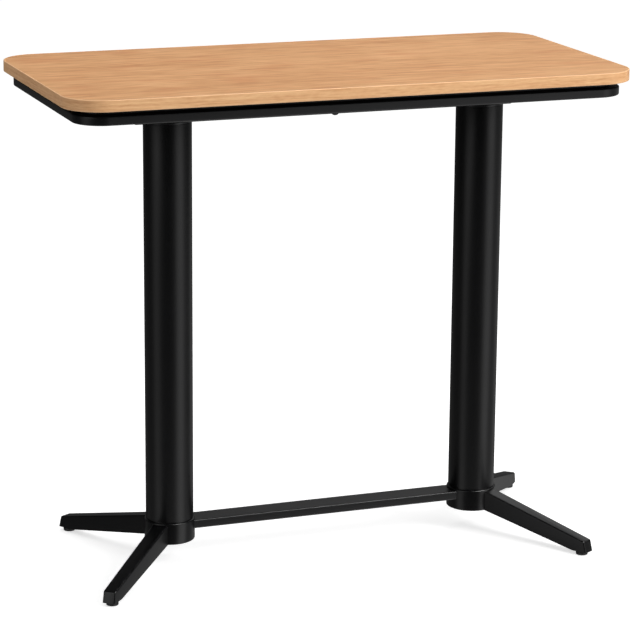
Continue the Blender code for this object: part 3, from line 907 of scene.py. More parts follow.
@dataclass(frozen=True)
class ZincPlate(WorkedMetal):
    """Bright zinc plating on rolled and turned steel.

    To the eye: a cool pale metal with soft reflections, clouded where the bath left it uneven and
    streaked by the tool marks under it.
    """

    name: str = "bright_zinc_plated_steel"
    pale: str = "#CFD1D3"
    dark: str = "#AEB0B1"
    roughness: float = 0.30


@dataclass(frozen=True)
class TurnedBrass(WorkedMetal):
    """Plain brass as it leaves the lathe.

    To the eye: a warm yellow metal, streaked by the tool and faintly clouded.
    """

    name: str = "turned_brass"
    pale: str = "#E3C27A"
    dark: str = "#C9A45C"
    roughness: float = 0.28


@dataclass
class FinishSet:
    """The materials of the table, one for each finish."""

    veneer: bpy.types.Material = field(default_factory=LacqueredVeneer().material)
    band: bpy.types.Material = field(default_factory=LacqueredEdgeBand().material)
    backing: bpy.types.Material = field(default_factory=PressedLaminate().material)
    tube_coat: bpy.types.Material = field(default_factory=PowderCoat().material)
    iron_coat: bpy.types.Material = field(default_factory=CoatedCastIron().material)
    nylon: bpy.types.Material = field(default_factory=MouldedNylon().material)
    zinc: bpy.types.Material = field(default_factory=ZincPlate().material)
    brass: bpy.types.Material = field(default_factory=TurnedBrass().material)


# Fasteners and welds


@dataclass(frozen=True)
class CapScrew:
    """A screw with a round head and a hexagon socket.

    `socket` is half the socket's width across its flats. Its depth and the rounding of the head
    are shares of the head's height, and the tip's chamfer is a share of the shank's radius.
    """

    radius: float
    head_radius: float
    head_height: float
    socket: float
    socket_share: float = 0.55
    ease_share: float = 0.10
    tip_share: float = 0.25
    steps: int = 32
    ease_steps: int = 4

    def mesh(self, length: float) -> Mesh:
        """Makes the screw pointing up, its head below z = 0.

        Args:
            length: Length of the shank.

        Returns:
            A closed mesh.
        """
        ease, chamfer = self.head_height * self.ease_share, self.radius * self.tip_share
        profile = arc((self.head_radius - ease, ease - self.head_height), ease, 270, 360, self.ease_steps)
        profile += [(self.head_radius, 0.0), (self.radius, 0.0)]
        profile += [(self.radius, length - chamfer), (self.radius - chamfer, length)]
        outline = circle(self.socket / math.cos(math.pi / 6), 6)
        roof = self.head_height * (self.socket_share - 1)
        hexagon = prism(outline, -self.head_height - chamfer, roof)
        return combined(turned(profile, self.steps), [hexagon], Boolean.CUT)


# The thick cap screw of the beam and the rail, and the thin one with a low head under the frame
M8_SCREW = CapScrew(radius=0.004, head_radius=0.0065, head_height=0.008, socket=0.003)
M6_LOW_SCREW = CapScrew(radius=0.003, head_radius=0.006, head_height=0.004, socket=0.0022)


@dataclass(frozen=True)
class DomedScrew:
    """A screw with a domed head and a cross recess."""

    head_radius: float = 0.0078
    head_height: float = 0.0062
    shank_radius: float = 0.00225
    crown_radius: float = 0.0006
    crown_angle: float = 84.0
    rim_angle: float = 4.0
    recess_reach: float = 0.0024
    recess_half_width: float = 0.0005
    recess_depth: float = 0.0022
    steps: int = 40
    dome_steps: int = 7

    def mesh(self, length: float) -> Mesh:
        """Makes the screw pointing up, its head below z = 0.

        Args:
            length: Length of the shank.

        Returns:
            A closed mesh.
        """
        points = [(self.crown_radius, -self.head_height)]
        for across, up in arc((0.0, 0.0), 1.0, self.crown_angle, self.rim_angle, self.dome_steps):
            points.append((self.head_radius * across, -self.head_height * up))
        points += [(self.head_radius, 0.0), (self.shank_radius, 0.0), (self.shank_radius, length)]
        low, high = -self.head_height - self.recess_depth, self.recess_depth - self.head_height
        reach, half = self.recess_reach, self.recess_half_width
        blades = []
        for angle in (0.0, math.pi / 2):
            blades.append(rotated(box((-reach, -half, low), (reach, half, high)), angle, "Z"))
        cross = combined(blades[0], [blades[1]], Boolean.JOIN)
        return combined(turned(points, self.steps), [cross], Boolean.CUT)


@dataclass(frozen=True)
class WeldBead:
    """A rippled weld bead laid up a vertical corner, tapered at both ends."""

    radius: float = 0.0032
    step: float = 0.0007
    ripple: float = 0.07
    steps_in_ripple: int = 3
    steps_in_taper: int = 3
    blunt: float = 0.08
    chords: int = 12

    def mesh(self, corner: Point2, low: float, high: float) -> Mesh:
        """Lays the bead.

        Args:
            corner: X and Y of the corner.
            low: Height of the lower end.
            high: Height of the upper end.

        Returns:
            A closed mesh.
        """
        count = round((high - low) / self.step)
        rings = []
        for i in range(count + 1):
            taper = min(1.0, math.sqrt(min(i, count - i) / self.steps_in_taper + self.blunt))
            swell = 1.0 + self.ripple * math.sin(2 * math.pi * i / self.steps_in_ripple)
            ring = circle(self.radius * taper * swell, self.chords)
            z = low + (high - low) * i / count
            rings.append([(corner[0] + x, corner[1] + y, z) for x, y in ring])
        return loft(rings)


# Sub-assemblies


@dataclass(frozen=True)
class BaseLayout:
    """Where the columns and the glides stand.

    `shift` is how far the base lies to the right of the top's middle. The legs of a foot are
    splayed to both sides of the outboard direction, and the pair is turned a little clockwise.
    """

    spacing: float = 0.690
    shift: float = 0.026
    splay: float = math.radians(54.6)
    turn: float = math.radians(5.0)
    glide_distance: float = 0.295

    def column_x(self, side: Side) -> float:
        """X of a column's axis."""
        return self.shift + side.value * self.spacing / 2

    def leg_azimuth(self, side: Side, end: End) -> float:
        """Direction of a leg seen from above, in radians."""
        outboard = 0.0 if side is Side.RIGHT else math.pi
        return outboard + side.value * end.value * self.splay - self.turn

    def glide_place(self, side: Side, end: End) -> Point2:
        """Gives the place of a glide.

        Args:
            side: The column that its foot belongs to.
            end: The long side that its leg points to.

        Returns:
            X and Y of the glide's axis.
        """
        azimuth = self.leg_azimuth(side, end)
        across = self.glide_distance * math.cos(azimuth)
        return (self.column_x(side) + across, self.glide_distance * math.sin(azimuth))


@dataclass
class EdgeBandedTop:
    """The board with its edge band."""

    length: float = 1.200
    width: float = 0.600
    top: float = 1.040
    thickness: float = 0.023
    corner: float = 0.080
    band: float = 0.002
    arris: float = 0.0015
    corner_steps: int = 32
    arris_steps: int = 5

    @property
    def low(self) -> float:
        """Height of the board's underside."""
        return self.top - self.thickness

    def outline(self, inset: float) -> list[Point2]:
        """Outline of the top, moved inwards."""
        length, width = self.length - 2 * inset, self.width - 2 * inset
        return rounded_rectangle(length, width, self.corner - inset, self.corner_steps)

    def build(self, finishes: FinishSet) -> None:
        """Makes the board, with its dark backing sheet that paints shade on its underside, and the band.

        Args:
            finishes: The table's materials.
        """
        board = make_piece(
            "veneered_board",
            prism(self.outline(self.band), self.low, self.top),
            finishes.veneer,
            stands_for=["table_top"],
        )
        # Faces that point down get the dark backing sheet: painted shade on the underside
        board.data.materials.append(finishes.backing)
        for polygon in board.data.polygons:
            polygon.material_index = int(polygon.normal.z < FACES_DOWN)
        make_piece(
            "solid_edge_band",
            self._band_mesh(),
            finishes.band,
            stands_for=["edge_band"],
        )

    def _band_mesh(self) -> Mesh:
        """Makes the band.

        Returns:
            A closed mesh whose UV is the run round the board and the height, in metres.
        """
        ease = self.arris
        section = arc((ease, self.low + ease), ease, 270, 180, self.arris_steps)
        section += arc((ease, self.top - ease), ease, 180, 90, self.arris_steps)
        section += [(self.band, self.top), (self.band, self.low)]
        mesh = loft([[(x, y, z) for x, y in self.outline(inset)] for inset, z in section], closed=True)
        layer = mesh.loops.layers.uv.new("band_grain")
        border = self.outline(0.0)
        runs = [0.0]
        for start, end in zip(border, border[1:] + border[:1]):
            runs.append(runs[-1] + math.dist(start, end))
        count = len(border)
        mesh.verts.index_update()
        for face in mesh.faces:
            columns = [loop.vert.index % count for loop in face.loops]
            wraps = max(columns) - min(columns) > 1
            for loop, column in zip(face.loops, columns):
                run = runs[count] if wraps and column == 0 else runs[column]
                loop[layer].uv = (run, loop.vert.co.z)
        return mesh


@dataclass
class TubeFrame:
    """The welded tube frame under the board, its cross bars and its weld beads.

    A rebate along the ring's outer edge leaves a shadow gap under the board. `setback` is how far
    the upper and lower faces of the cross bars lie inside the ring's.
    """

    top: EdgeBandedTop
    layout: BaseLayout
    inset: float = 0.020
    tube: float = 0.030
    edge_radius: float = 0.0035
    edge_steps: int = 6
    rebate_height: float = 0.0118
    rebate_depth: float = 0.020
    setback: float = 0.0005
    bar_corner: float = 0.002
    bar_corner_steps: int = 4
    bead: WeldBead = WeldBead()

    @property
    def high(self) -> float:
        """Height of the tube's upper face."""
        return self.top.low - SEAT

    @property
    def low(self) -> float:
        """Height of the tube's lower face."""
        return self.high - self.tube

    @property
    def ledge(self) -> float:
        """Height of the shadow gap's floor."""
        return self.high - self.rebate_height

    def outline(self, inset: float) -> list[Point2]:
        """Outline of the frame, moved inwards."""
        return self.top.outline(self.inset + inset)

    def build(self, finishes: FinishSet) -> None:
        """Makes the ring with its cross bars, and the beads that weld them.

        Args:
            finishes: The table's materials.
        """
        step = self.rebate_depth
        corners = [(0.0, self.low), (self.tube, self.low), (self.tube, self.high)]
        corners += [(step, self.high), (step, self.ledge), (0.0, self.ledge)]
        section = eased(corners, self.edge_radius, self.edge_steps)
        ring = loft([[(x, y, z) for x, y in self.outline(inset)] for inset, z in section], closed=True)
        bars = [self._cross_bar(self.layout.column_x(side)) for side in Side]
        make_piece(
            "welded_tube_frame", merged([ring, *bars]), finishes.tube_coat, stands_for=["under_frame"]
        )
        for side in Side:
            for end in End:
                self._weld(side, end, finishes)

    def _cross_bar(self, x: float) -> Mesh:
        """Makes the bar over one column.

        Args:
            x: X of the column's axis.

        Returns:
            A closed mesh whose ends lie inside the ring.
        """
        reach = self.top.width / 2 - self.inset - (self.rebate_depth + self.tube) / 2
        height = self.tube - 2 * self.setback
        section = rounded_rectangle(self.tube, height, self.bar_corner, self.bar_corner_steps)
        middle = self.low + self.tube / 2
        return loft([[(x + across, y, middle + up) for across, up in section] for y in (-reach, reach)])

    def _weld(self, side: Side, end: End, finishes: FinishSet) -> None:
        """Lays the beads where one end of a cross bar meets the ring.

        Args:
            side: The column that the bar crosses.
            end: The long side that its end meets.
            finishes: The table's materials.
        """
        joint = end.value * (self.top.width / 2 - self.inset - self.tube)
        low, high = self.low + self.edge_radius, self.high - self.edge_radius
        beads = []
        for hand in (-1, 1):
            corner = (self.layout.column_x(side) + hand * self.tube / 2, joint)
            beads.append(self.bead.mesh(corner, low, high))
        name = f"weld_{side.label}_{end.label}"
        make_piece(name, merged(beads), finishes.tube_coat, edge=Edge.ROUND)


@dataclass
class HatBeam:
    """The pressed hat-section beam under the cross bars, its end caps and its bolts."""

    frame: TubeFrame
    layout: BaseLayout
    width: float = 0.110
    depth: float = 0.0445
    wall: float = 0.003
    flange: float = 0.025
    bend: float = 0.006
    burr: float = 0.0004
    overhang: float = 0.071
    offset: float = -0.017
    end_bevel: float = 0.006
    cap_depth: float = 0.012
    cap_ease: float = 0.0006
    cap_steps: int = 4
    bolt: CapScrew = M8_SCREW
    bolt_length: float = 0.012

    @property
    def high(self) -> float:
        """Height of the flanges' upper faces."""
        return self.frame.low + self.frame.setback - SEAT

    @property
    def low(self) -> float:
        """Height of the beam's underside."""
        return self.high - self.depth

    @property
    def reach(self) -> float:
        """Half the beam's length."""
        return self.layout.spacing / 2 + self.overhang

    @property
    def middle(self) -> float:
        """X of the beam's middle."""
        return self.layout.shift + self.offset

    @property
    def bolt_y(self) -> float:
        """Distance of the bolts from the beam's middle line, at the middle of the flanges."""
        return (self.width + self.flange) / 2

    def section(self) -> list[Point2]:
        """Gives the outline of the section.

        Returns:
            Its (y, z) points, with the bends and the broken edges.
        """
        half, bend, burr = self.width / 2, self.bend, self.burr
        tip, inner = half + self.flange, self.bend - self.wall
        under, floor = self.high - self.wall, self.low + self.wall
        # Chords in the outer and in the inner bends
        outside, inside = 8, 6
        points = [(burr - tip, self.high), (-tip, self.high - burr)]
        points += [(-tip, under + burr), (burr - tip, under)]
        points += arc((-half - inner, under - inner), inner, 90, 0, inside)
        points += arc((bend - half, self.low + bend), bend, 180, 270, outside)
        points += arc((half - bend, self.low + bend), bend, 270, 360, outside)
        points += arc((half + inner, under - inner), inner, 180, 90, inside)
        points += [(tip - burr, under), (tip, under + burr)]
        points += [(tip, self.high - burr), (tip - burr, self.high)]
        points += arc((half + inner, self.high - bend), bend, 90, 180, outside)
        points += arc((half - bend, floor + inner), inner, 360, 270, inside)
        points += arc((bend - half, floor + inner), inner, 270, 180, inside)
        points += arc((-half - inner, self.high - bend), bend, 0, 90, outside)
        return points

    def build(self, finishes: FinishSet) -> None:
        """Makes the beam, its caps and its bolts.

        Args:
            finishes: The table's materials.
        """
        ends = (self.middle - self.reach, self.middle + self.reach)
        beam = loft([[(x, y, z) for y, z in self.section()] for x in ends])
        beam = combined(beam, [self._end_wedge(side) for side in Side], Boolean.CUT)
        make_piece("pressed_hat_beam", beam, finishes.tube_coat, stands_for=["beam"])
        for side in Side:
            self._cap(side, finishes)
            for end in End:
                place = (self.layout.column_x(side), end.value * self.bolt_y, self.high - self.wall - SEAT)
                make_piece(
                    f"cap_screw_beam_{side.label}_{end.label}",
                    moved(self.bolt.mesh(self.bolt_length), place),
                    finishes.zinc,
                    stands_for=[f"beam_bolt_{side.label}_{end.label}"],
                )

    def _end_wedge(self, side: Side) -> Mesh:
        """Makes the wedge that takes the lower corner off one end of the beam.

        Args:
            side: The end that it cuts.

        Returns:
            The mesh to cut with.
        """
        inner = self.middle + side.value * (self.reach - 2 * self.end_bevel)
        outer = inner + side.value * 3 * self.end_bevel
        bottom = self.low - self.end_bevel
        wedge = [(inner, bottom), (outer, bottom), (outer, bottom + 3 * self.end_bevel)]
        return loft([[(x, y, z) for x, z in wedge] for y in (-self.width, self.width)])

    def _cap_ring(self, x: float, less: float) -> list[Point3]:
        """Gives one ring of an end cap.

        Args:
            x: Where it lies along the beam.
            less: How far it lies inside the cap's outline.

        Returns:
            The ring's points.
        """
        half = self.width / 2 - self.wall - SEAT
        low = self.low + self.wall + SEAT
        corner = self.bend - self.wall
        outline = [(less - half, self.high - less)]
        outline += arc((corner - half, low + corner), corner - less, 180, 270, self.cap_steps)
        outline += arc((half - corner, low + corner), corner - less, 270, 360, self.cap_steps)
        outline += [(half - less, self.high - less)]
        return [(x, y, z) for y, z in outline]

    def _cap(self, side: Side, finishes: FinishSet) -> None:
        """Makes the moulded cap in one end of the beam, its outer edge broken.

        Args:
            side: The end that it closes.
            finishes: The table's materials.
        """
        outer = self.middle + side.value * (self.reach - self.end_bevel)
        inner = outer - side.value * self.cap_depth
        skin = outer - side.value * self.cap_ease
        rings = [self._cap_ring(inner, 0.0), self._cap_ring(skin, 0.0), self._cap_ring(outer, self.cap_ease)]
        make_piece(
            f"moulded_beam_cap_{side.label}",
            loft(rings),
            finishes.nylon,
            stands_for=[f"beam_end_cap_{side.label}"],
        )


@dataclass
class FrameFasteners:
    """The domed frame screws, and the bolts that hold the frame to the board.

    `screw_cover` is the metal left over the tip of a domed screw inside the ring.
    """

    frame: TubeFrame
    layout: BaseLayout
    screw: DomedScrew = DomedScrew()
    screw_cover: float = 0.002
    screw_offset: float = 0.056
    bolt: CapScrew = M6_LOW_SCREW
    bolt_spacing: float = 0.340
    insert_length: float = 0.014

    def build(self, finishes: FinishSet) -> None:
        """Makes the screws and bolts; the brass inserts stay as modelled.

        Args:
            finishes: The table's materials.
        """
        reach = self.frame.top.width / 2 - self.frame.inset - self.frame.tube / 2
        length = self.frame.ledge - self.screw_cover - self.frame.low + SEAT
        for end in End:
            place = (end.value * self.screw_offset, end.value * reach, self.frame.low - SEAT)
            make_piece(
                f"domed_screw_{end.label}",
                moved(self.screw.mesh(length), place),
                finishes.tube_coat,
                stands_for=[f"frame_screw_{end.label}"],
            )
        bar_low = self.frame.low + self.frame.setback
        length = self.frame.top.low + self.insert_length - bar_low
        for side in Side:
            for end in End:
                label = f"{side.label}_{end.label}"
                place = (self.layout.column_x(side), end.value * self.bolt_spacing / 2, bar_low - SEAT)
                make_piece(
                    f"cap_screw_top_{label}",
                    moved(self.bolt.mesh(length), place),
                    finishes.zinc,
                    stands_for=[f"top_bolt_{label}"],
                )
                dress(f"insert_{label}", finishes.brass)


@dataclass
class LevellingGlide:
    """One glide: a nylon pad that turns on the flange of a threaded stud.

    The stud has a plain collar above its disc. `collar_cut` is how far that lies inside the crests
    of the thread, which starts `thread_rise` above the shoulder.
    """

    layout: BaseLayout
    side: Side
    end: End
    pad_radius: float = 0.0125
    pad_height: float = 0.0077
    pad_edge: float = 0.0008
    lip: float = 0.0017
    floor: float = 0.0018
    neck_edge: float = 0.0005
    disc_radius: float = 0.0063
    disc_edge: float = 0.0003
    stud_radius: float = 0.004
    stud_end: float = 0.025
    pitch: float = 0.00125
    collar_cut: float = 0.000375
    collar_height: float = 0.002
    thread_rise: float = 0.0005
    pad_steps: int = 64
    disc_steps: int = 48
    # First and last angle of the pad's domed shoulder in degrees, and its chords
    dome: Point2 = (8.0, 75.0)
    dome_steps: int = 6

    @property
    def shoulder(self) -> float:
        """Height of the underside of the pad's lip."""
        return self.pad_height - self.lip

    def pad(self) -> Mesh:
        """Makes the pad with its domed shoulder and the pocket for the stud's disc.

        Returns:
            A closed mesh.
        """
        neck, pocket = self.stud_radius + SEAT, self.disc_radius + SEAT
        rounding, spring = 2 * self.lip, self.shoulder - self.lip
        outside = [(self.pad_radius - self.pad_edge, 0.0), (self.pad_radius, self.pad_edge)]
        outside += [(self.pad_radius, spring)]
        outside += arc((self.pad_radius - rounding, spring), rounding, *self.dome, self.dome_steps)
        outside = [(min(r, self.pad_radius), min(z, self.pad_height)) for r, z in outside]
        edge = self.neck_edge
        profile = [*outside, (neck + edge, self.pad_height), (neck, self.pad_height - edge)]
        profile += [(neck, self.shoulder), (pocket, self.shoulder), (pocket, self.floor)]
        return turned(profile, self.pad_steps)

    def stud(self) -> Mesh:
        """Makes the disc, the collar and the threaded stud above them.

        Returns:
            Two closed meshes in one.
        """
        collar = self.stud_radius - self.collar_cut
        profile = [(self.disc_radius, self.floor + SEAT), (self.disc_radius, self.shoulder - SEAT)]
        profile += [(collar, self.shoulder - SEAT), (collar, self.shoulder + self.collar_height)]
        disc = turned(eased(profile, self.disc_edge, 2, closed=False), self.disc_steps)
        start = self.shoulder + self.thread_rise
        return merged([disc, threaded(self.stud_radius, self.pitch, start, self.stud_end)])

    def build(self, finishes: FinishSet) -> None:
        """Makes the pad and the stud.

        Args:
            finishes: The table's materials.
        """
        label = f"{self.side.label}_{self.end.label}"
        place = (*self.layout.glide_place(self.side, self.end), 0.0)
        make_piece(
            f"nylon_glide_{label}",
            moved(self.pad(), place),
            finishes.nylon,
            body=f"pad_{label}",
            stands_for=[f"glide_pad_{label}"],
        )
        make_piece(
            f"threaded_stud_{label}",
            moved(self.stud(), place),
            finishes.zinc,
            body=f"stud_{label}",
            stands_for=[f"glide_stud_{label}"],
        )


@dataclass
class CastFoot:
    """One cast foot: a hub with two tapered, raked legs, hollow underneath."""

    layout: BaseLayout
    side: Side
    hub_radius: float = 0.053
    hub_low: float = 0.0485
    hub_height: float = 0.046
    hub_ease: float = 0.0028
    hub_wall: float = 0.009
    seat_rise: float = 0.002
    seat_radius: float = 0.049
    spigot_radius: float = 0.0467
    spigot_wall: float = 0.006
    spigot_length: float = 0.014
    spigot_chamfer: float = 0.001
    cavity_flat: float = 0.005
    cavity_top: float = 0.0848
    root_half_width: float = 0.017
    tip_half_width: float = 0.014
    root_drop: float = 0.004
    tip_depth: float = 0.024
    tip_low: float = 0.008
    end_rake: float = 0.006
    edge_radius: float = 0.0034
    past_glide: float = 0.019
    before_glide: float = 0.0038
    web: float = 0.007
    wall: float = 0.005
    hollow_radius: float = 0.002
    rod_hole: float = 0.0063
    bolt_hole: float = 0.0043
    bolt_z: float = 0.078
    stud_bore: float = 0.0043
    stud_bore_depth: float = 0.018
    steps: int = 96
    bore_steps: int = 24
    ease_steps: int = 5
    edge_steps: int = 6
    hollow_steps: int = 3

    @property
    def hub_high(self) -> float:
        """Height of the hub's top."""
        return self.hub_low + self.hub_height

    @property
    def seat(self) -> float:
        """Height of the ring that the column stands on."""
        return self.hub_high + self.seat_rise

    @property
    def leg_end(self) -> float:
        """Distance of a leg's end from the column's axis."""
        return self.layout.glide_distance + self.past_glide

    @property
    def glide_seat(self) -> float:
        """Distance from which a leg's underside runs level over the glide."""
        return self.layout.glide_distance - LevellingGlide.pad_radius - self.before_glide

    @staticmethod
    def line(start: Point2, end: Point2, distance: float) -> float:
        """Value at a distance on a straight line between two (distance, value) points."""
        return start[1] + (end[1] - start[1]) * (distance - start[0]) / (end[0] - start[0])

    def leg_top(self, distance: float) -> float:
        """Height of a leg's top edge."""
        root = (self.hub_radius, self.hub_high - self.root_drop)
        return self.line(root, (self.leg_end - self.end_rake, self.tip_low + self.tip_depth), distance)

    def leg_low(self, distance: float) -> float:
        """Height of a leg's lower edge.

        Args:
            distance: Distance from the column's axis.

        Returns:
            The height, level over the glide.
        """
        if distance > self.glide_seat:
            return self.tip_low
        return self.line((self.hub_radius, self.hub_low), (self.glide_seat, self.tip_low), distance)

    def half_width(self, distance: float) -> float:
        """Half the width of a leg."""
        root = (self.hub_radius, self.root_half_width)
        return self.line(root, (self.leg_end, self.tip_half_width), distance)

    def wedge(self, side_view: Sequence[Point2], less: float) -> Mesh:
        """Extrudes a side view to the leg's tapering width, less a wall on both sides."""
        return loft([[(s, sign * (self.half_width(s) - less), z) for s, z in side_view] for sign in (-1, 1)])

    def leg(self) -> Mesh:
        """Makes one leg along +X with its long edges and its end rounded.

        Returns:
            A closed mesh whose root reaches into the hub's wall.
        """
        start = self.hub_radius - self.hub_wall - self.root_drop
        shoulder = self.leg_end - self.end_rake
        side_view = [(start, self.leg_top(start)), (shoulder, self.leg_top(shoulder))]
        side_view += [(self.leg_end, self.tip_low), (self.glide_seat, self.tip_low)]
        side_view += [(start, self.leg_low(start))]
        mesh = self.wedge(side_view, 0.0)

        def on_top(vert: bmesh.types.BMVert) -> bool:
            """Tells whether a point lies on the leg's top."""
            return vert.co.z > self.leg_top(vert.co.x) - SEAT

        def shows(edge: bmesh.types.BMEdge) -> bool:
            """Tells whether an edge is one of the top's long edges or round the raked end."""
            first, second = edge.verts
            at_end = min(first.co.x, second.co.x) > self.layout.glide_distance
            lowest_line = all(vert.co.x > self.leg_end - SEAT for vert in edge.verts)
            spans = abs(first.co.x - second.co.x) > self.past_glide
            return (at_end and not lowest_line) or (spans and on_top(first) and on_top(second))

        return rounded(mesh, [edge for edge in mesh.edges if shows(edge)], self.edge_radius, self.edge_steps)

    def hollow(self) -> Mesh:
        """Makes the space under one leg.

        Returns:
            The mesh to cut with, its roof and its upright corners rounded.
        """
        start, end = self.hub_radius + self.wall, self.glide_seat - self.wall
        side_view = [(start, self.leg_top(start) - self.web), (end, self.leg_top(end) - self.web)]
        side_view += [(end, self.leg_low(end) - self.web), (start, self.leg_low(start) - self.web)]
        mesh = self.wedge(side_view, self.wall)

        def in_roof(edge: bmesh.types.BMEdge) -> bool:
            """Tells whether an edge lies round the roof."""
            return all(vert.co.z > self.leg_top(vert.co.x) - self.web - SEAT for vert in edge.verts)

        def upright(edge: bmesh.types.BMEdge) -> bool:
            """Tells whether an edge stands upright."""
            first, second = edge.verts
            return (first.co.xy - second.co.xy).length < SEAT

        edges = [edge for edge in mesh.edges if in_roof(edge)]
        edges += [edge for edge in mesh.edges if upright(edge)]
        return rounded(mesh, edges, self.hollow_radius, self.hollow_steps)

    def hub(self) -> Mesh:
        """Makes the hub with its seat ring, spigot and rod hole.

        Returns:
            A closed ring about Z.
        """
        bore, ease = self.spigot_radius - self.spigot_wall, self.hub_ease
        end, chamfer = self.seat + self.spigot_length, self.spigot_chamfer
        profile = [(self.rod_hole, self.hub_low)]
        profile += arc((self.hub_radius - ease, self.hub_low + ease), ease, 270, 360, self.ease_steps)
        profile += arc((self.hub_radius - ease, self.hub_high - ease), ease, 0, 90, self.ease_steps)
        profile += [(self.seat_radius, self.hub_high), (self.seat_radius, self.seat)]
        profile += [(self.spigot_radius, self.seat), (self.spigot_radius, end - chamfer)]
        profile += [(self.spigot_radius - chamfer, end), (bore, end)]
        profile += [(bore, self.seat), (self.rod_hole, self.seat)]
        return turned(profile, self.steps, bored=True)

    def bores(self, azimuths: Sequence[float]) -> list[Mesh]:
        """Makes the bores for the rail's bolt and for the two studs.

        Args:
            azimuths: Directions of the legs.

        Returns:
            The meshes to cut with.
        """
        bolt = prism(circle(self.bolt_hole, self.bore_steps), -self.hub_radius - self.hub_wall, 0.0)
        meshes = [moved(rotated(bolt, math.pi / 2, "Y"), (0.0, 0.0, self.bolt_z))]
        reach = self.layout.glide_distance
        for azimuth in azimuths:
            bore = prism(circle(self.stud_bore, self.bore_steps), 0.0, self.tip_low + self.stud_bore_depth)
            meshes.append(moved(bore, (reach * math.cos(azimuth), reach * math.sin(azimuth), 0.0)))
        return meshes

    def build(self, finishes: FinishSet) -> None:
        """Makes the casting; the left foot is the right one turned half round.

        Args:
            finishes: The table's materials.
        """
        azimuths = [self.layout.leg_azimuth(Side.RIGHT, end) for end in End]
        mesh = self.hub()
        for azimuth in azimuths:
            mesh = combined(mesh, [rotated(self.leg(), azimuth, "Z")], Boolean.JOIN)
        inner = self.hub_radius - self.hub_wall
        outline = [(max(x, self.cavity_flat - inner), y) for x, y in circle(inner, self.steps)]
        cavity = prism(outline, self.hub_low - self.hub_wall, self.cavity_top)
        mesh = combined(mesh, [cavity], Boolean.CUT)
        mesh = combined(mesh, [rotated(self.hollow(), azimuth, "Z") for azimuth in azimuths], Boolean.CUT)
        mesh = combined(mesh, self.bores(azimuths), Boolean.CUT)
        if self.side is Side.LEFT:
            mesh = rotated(mesh, math.pi, "Z")
        make_piece(
            f"cast_iron_foot_{self.side.label}",
            moved(mesh, (self.layout.column_x(self.side), 0.0, 0.0)),
            finishes.iron_coat,
            stands_for=[f"foot_{self.side.label}"],
        )


@dataclass
class RoundColumn:
    """One column: the steel tube and the cast cap that centres it under the beam."""

    beam: HatBeam
    foot: CastFoot
    radius: float = 0.050
    wall: float = 0.003
    tube_edge: float = 0.0005
    cap_flange: float = 0.004
    cap_edge: float = 0.0006
    spigot: float = 0.014
    spigot_wall: float = 0.006
    steps: int = 96

    def build(self, finishes: FinishSet) -> None:
        """Makes the tube and the cap.

        Args:
            finishes: The table's materials.
        """
        side = self.foot.side
        place = (self.foot.layout.column_x(side), 0.0, 0.0)
        cap_top = self.beam.low - SEAT
        flange_low = cap_top - self.cap_flange
        bottom, top = self.foot.seat + SEAT, flange_low - SEAT
        bore = self.radius - self.wall
        tube = [(bore, bottom), (self.radius, bottom), (self.radius, top), (bore, top)]
        make_piece(
            f"column_tube_{side.label}",
            moved(turned(eased(tube, self.tube_edge, 2), self.steps, bored=True), place),
            finishes.tube_coat,
            stands_for=[f"column_{side.label}"],
        )
        spigot, end = bore - SEAT, flange_low - self.spigot
        rod_hole = self.foot.rod_hole
        cap = [(rod_hole, cap_top), (self.radius, cap_top), (self.radius, flange_low), (spigot, flange_low)]
        cap += [(spigot, end), (spigot - self.spigot_wall, end)]
        cap += [(spigot - self.spigot_wall, flange_low), (rod_hole, flange_low)]
        make_piece(
            f"cast_column_cap_{side.label}",
            moved(turned(eased(cap, self.cap_edge, 2), self.steps, bored=True), place),
            finishes.iron_coat,
            stands_for=[f"column_cap_{side.label}"],
        )


